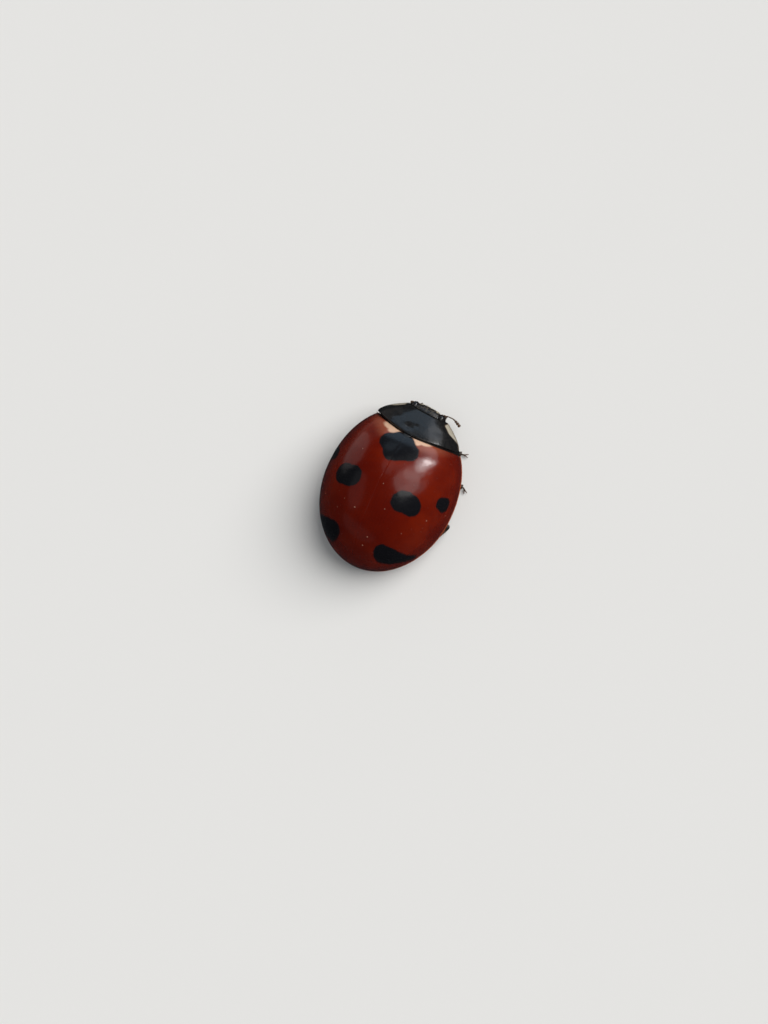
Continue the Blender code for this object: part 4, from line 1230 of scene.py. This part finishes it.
# the room: pale to the eye, like the floor; soft fill for matt surfaces; nearly dark in the gloss
world = bpy.data.worlds.new("studio")
bpy.context.scene.world = world
world.use_nodes = True
world.cycles.sampling_method = "NONE"
wt = world.node_tree
wt.nodes.clear()
out = wt.nodes.new("ShaderNodeOutputWorld")
path = wt.nodes.new("ShaderNodeLightPath")
shades = []
for colour, strength in (((0.92, 0.96, 1.0), 0.27), ((0.80, 0.88, 1.0), 0.075), ((0.780, 0.775, 0.760), 1.0)):
    shade = wt.nodes.new("ShaderNodeBackground")
    shade.inputs[0].default_value, shade.inputs[1].default_value = (*colour, 1), strength
    shades.append(shade.outputs[0])
# what the gloss sees is a little lighter below the horizon, towards the floor
seen_from = wt.nodes.new("ShaderNodeTexCoord")
split = wt.nodes.new("ShaderNodeSeparateXYZ")
fall = wt.nodes.new("ShaderNodeMapRange")
wt.links.new(seen_from.outputs["Generated"], split.inputs[0])
wt.links.new(split.outputs[2], fall.inputs[0])
for i, value in ((1, -0.45), (2, 0.05), (3, 0.020), (4, 0.012)):
    fall.inputs[i].default_value = value
wt.links.new(fall.outputs[0], shades[1].node.inputs[1])
last = shades[0]
for kind, shade in (("Is Glossy Ray", shades[1]), ("Is Camera Ray", shades[2])):
    both = wt.nodes.new("ShaderNodeMixShader")
    wt.links.new(path.outputs[kind], both.inputs[0])
    wt.links.new(last, both.inputs[1])
    wt.links.new(shade, both.inputs[2])
    last = both.outputs[0]
wt.links.new(last, out.inputs[0])

AIM = np.array([0.0, 2.2 + OFFSET_Y, 2.0])
FAR = 0.70


def toward(azimuth, elevation):
    a, e = math.radians(azimuth), math.radians(elevation)
    return np.array([math.sin(a) * math.cos(e), -math.cos(a) * math.cos(e), math.sin(e)])


def softbox(name, azimuth, elevation, wide, high, radiance, colour, roll=0.0):
    """Soft round light seen from the model at a direction, wide and high in degrees across,
    brightest in the middle.  It is large and far, so its light is even all round the model."""
    d = toward(azimuth, elevation)
    for k, (size, share) in enumerate(((1.20, 0.18), (0.92, 0.28), (0.66, 0.30), (0.40, 0.24))):
        light = bpy.data.lights.new("%s_%d" % (name, k), "AREA")
        light.shape = "ELLIPSE"
        light.size = 2 * FAR * math.tan(math.radians(wide * size / 2))
        light.size_y = 2 * FAR * math.tan(math.radians(high * size / 2))
        light.energy = radiance * share * pi * pi * light.size * light.size_y / 4
        light.color = colour
        obj = bpy.data.objects.new(light.name, light)
        obj.location = AIM * MM + d * FAR
        obj.rotation_mode = "QUATERNION"
        obj.rotation_quaternion = Vector(-d).to_track_quat("-Z", "Y") @ Matrix.Rotation(math.radians(roll), 3, "Z").to_quaternion()
        obj.visible_camera = False
        obj.visible_diffuse = False
        bpy.context.scene.collection.objects.link(obj)


sun = bpy.data.lights.new("sky", "SUN")
sun.energy, sun.angle, sun.color = 3.0, math.radians(50), (1.0, 0.985, 0.965)
sun_obj = bpy.data.objects.new("sky", sun)
sun_obj.rotation_mode = "QUATERNION"
sun_obj.rotation_quaternion = Vector(-toward(-40, 50)).to_track_quat("-Z", "Y")
sun_obj.visible_glossy = False
bpy.context.scene.collection.objects.link(sun_obj)

softbox("key", -51, 53, 36, 38, 4.8, (1.0, 0.985, 0.96))
softbox("key_side", -68, 43, 22, 44, 2.6, (1.0, 0.985, 0.97), roll=18)
softbox("key_low", -36, 36, 20, 28, 5.0, (1.0, 0.985, 0.97), roll=-20)
softbox("window", -30, 19, 17, 24, 15.0, (0.97, 0.99, 1.0), roll=-15)
softbox("glint", -29, 17, 9, 7, 85.0, (1.0, 1.0, 1.0))
softbox("low", -14, 1, 20, 18, 4.5, (1.0, 0.95, 0.94))
softbox("haze", -8, 44, 22, 20, 1.1, (1.0, 0.97, 0.95))
softbox("front", 5, 0, 44, 19, 3.1, (0.66, 0.92, 1.20))
softbox("streaks", 20, 21, 15, 9, 1.7, (0.72, 0.95, 1.15), roll=25)
softbox("left", 70, 7, 34, 34, 1.9, (1.0, 0.94, 0.93))
softbox("left_low", 48, -10, 34, 34, 0.60, (1.0, 0.90, 0.86))
softbox("seam", 17, 52, 11, 24, 1.9, (1.0, 1.0, 1.0))
softbox("rear", 165, 26, 50, 20, 0.40, (1.0, 1.0, 1.0))
softbox("side", 108, 48, 34, 24, 0.7, (1.0, 1.0, 1.0))

back = Vector((-0.1981, -0.0003, 0.9802)).normalized()
up = Vector((0.4224, -0.9024, 0.0851)).normalized()
right = up.cross(back).normalized()
focal = 50 / 36 * 1024
forward = (-back - right * (3.555 / focal) - up * (26.566 / focal)).normalized()
cam_right = forward.cross(up).normalized()
cam_up = cam_right.cross(forward)
cam = bpy.data.cameras.new("camera")
cam.lens, cam.sensor_width, cam.sensor_fit = 50, 36, "AUTO"
cam.clip_start, cam.clip_end = 0.001, 1.0
cam_obj = bpy.data.objects.new("camera", cam)
pose = Matrix((cam_right, cam_up, -forward)).transposed().to_4x4()
pose.translation = Vector(AIM * MM) + back * (59.2536 * MM)
cam_obj.matrix_world = pose
bpy.context.scene.collection.objects.link(cam_obj)
bpy.context.scene.camera = cam_obj
bpy.context.scene.view_settings.view_transform = "Standard"
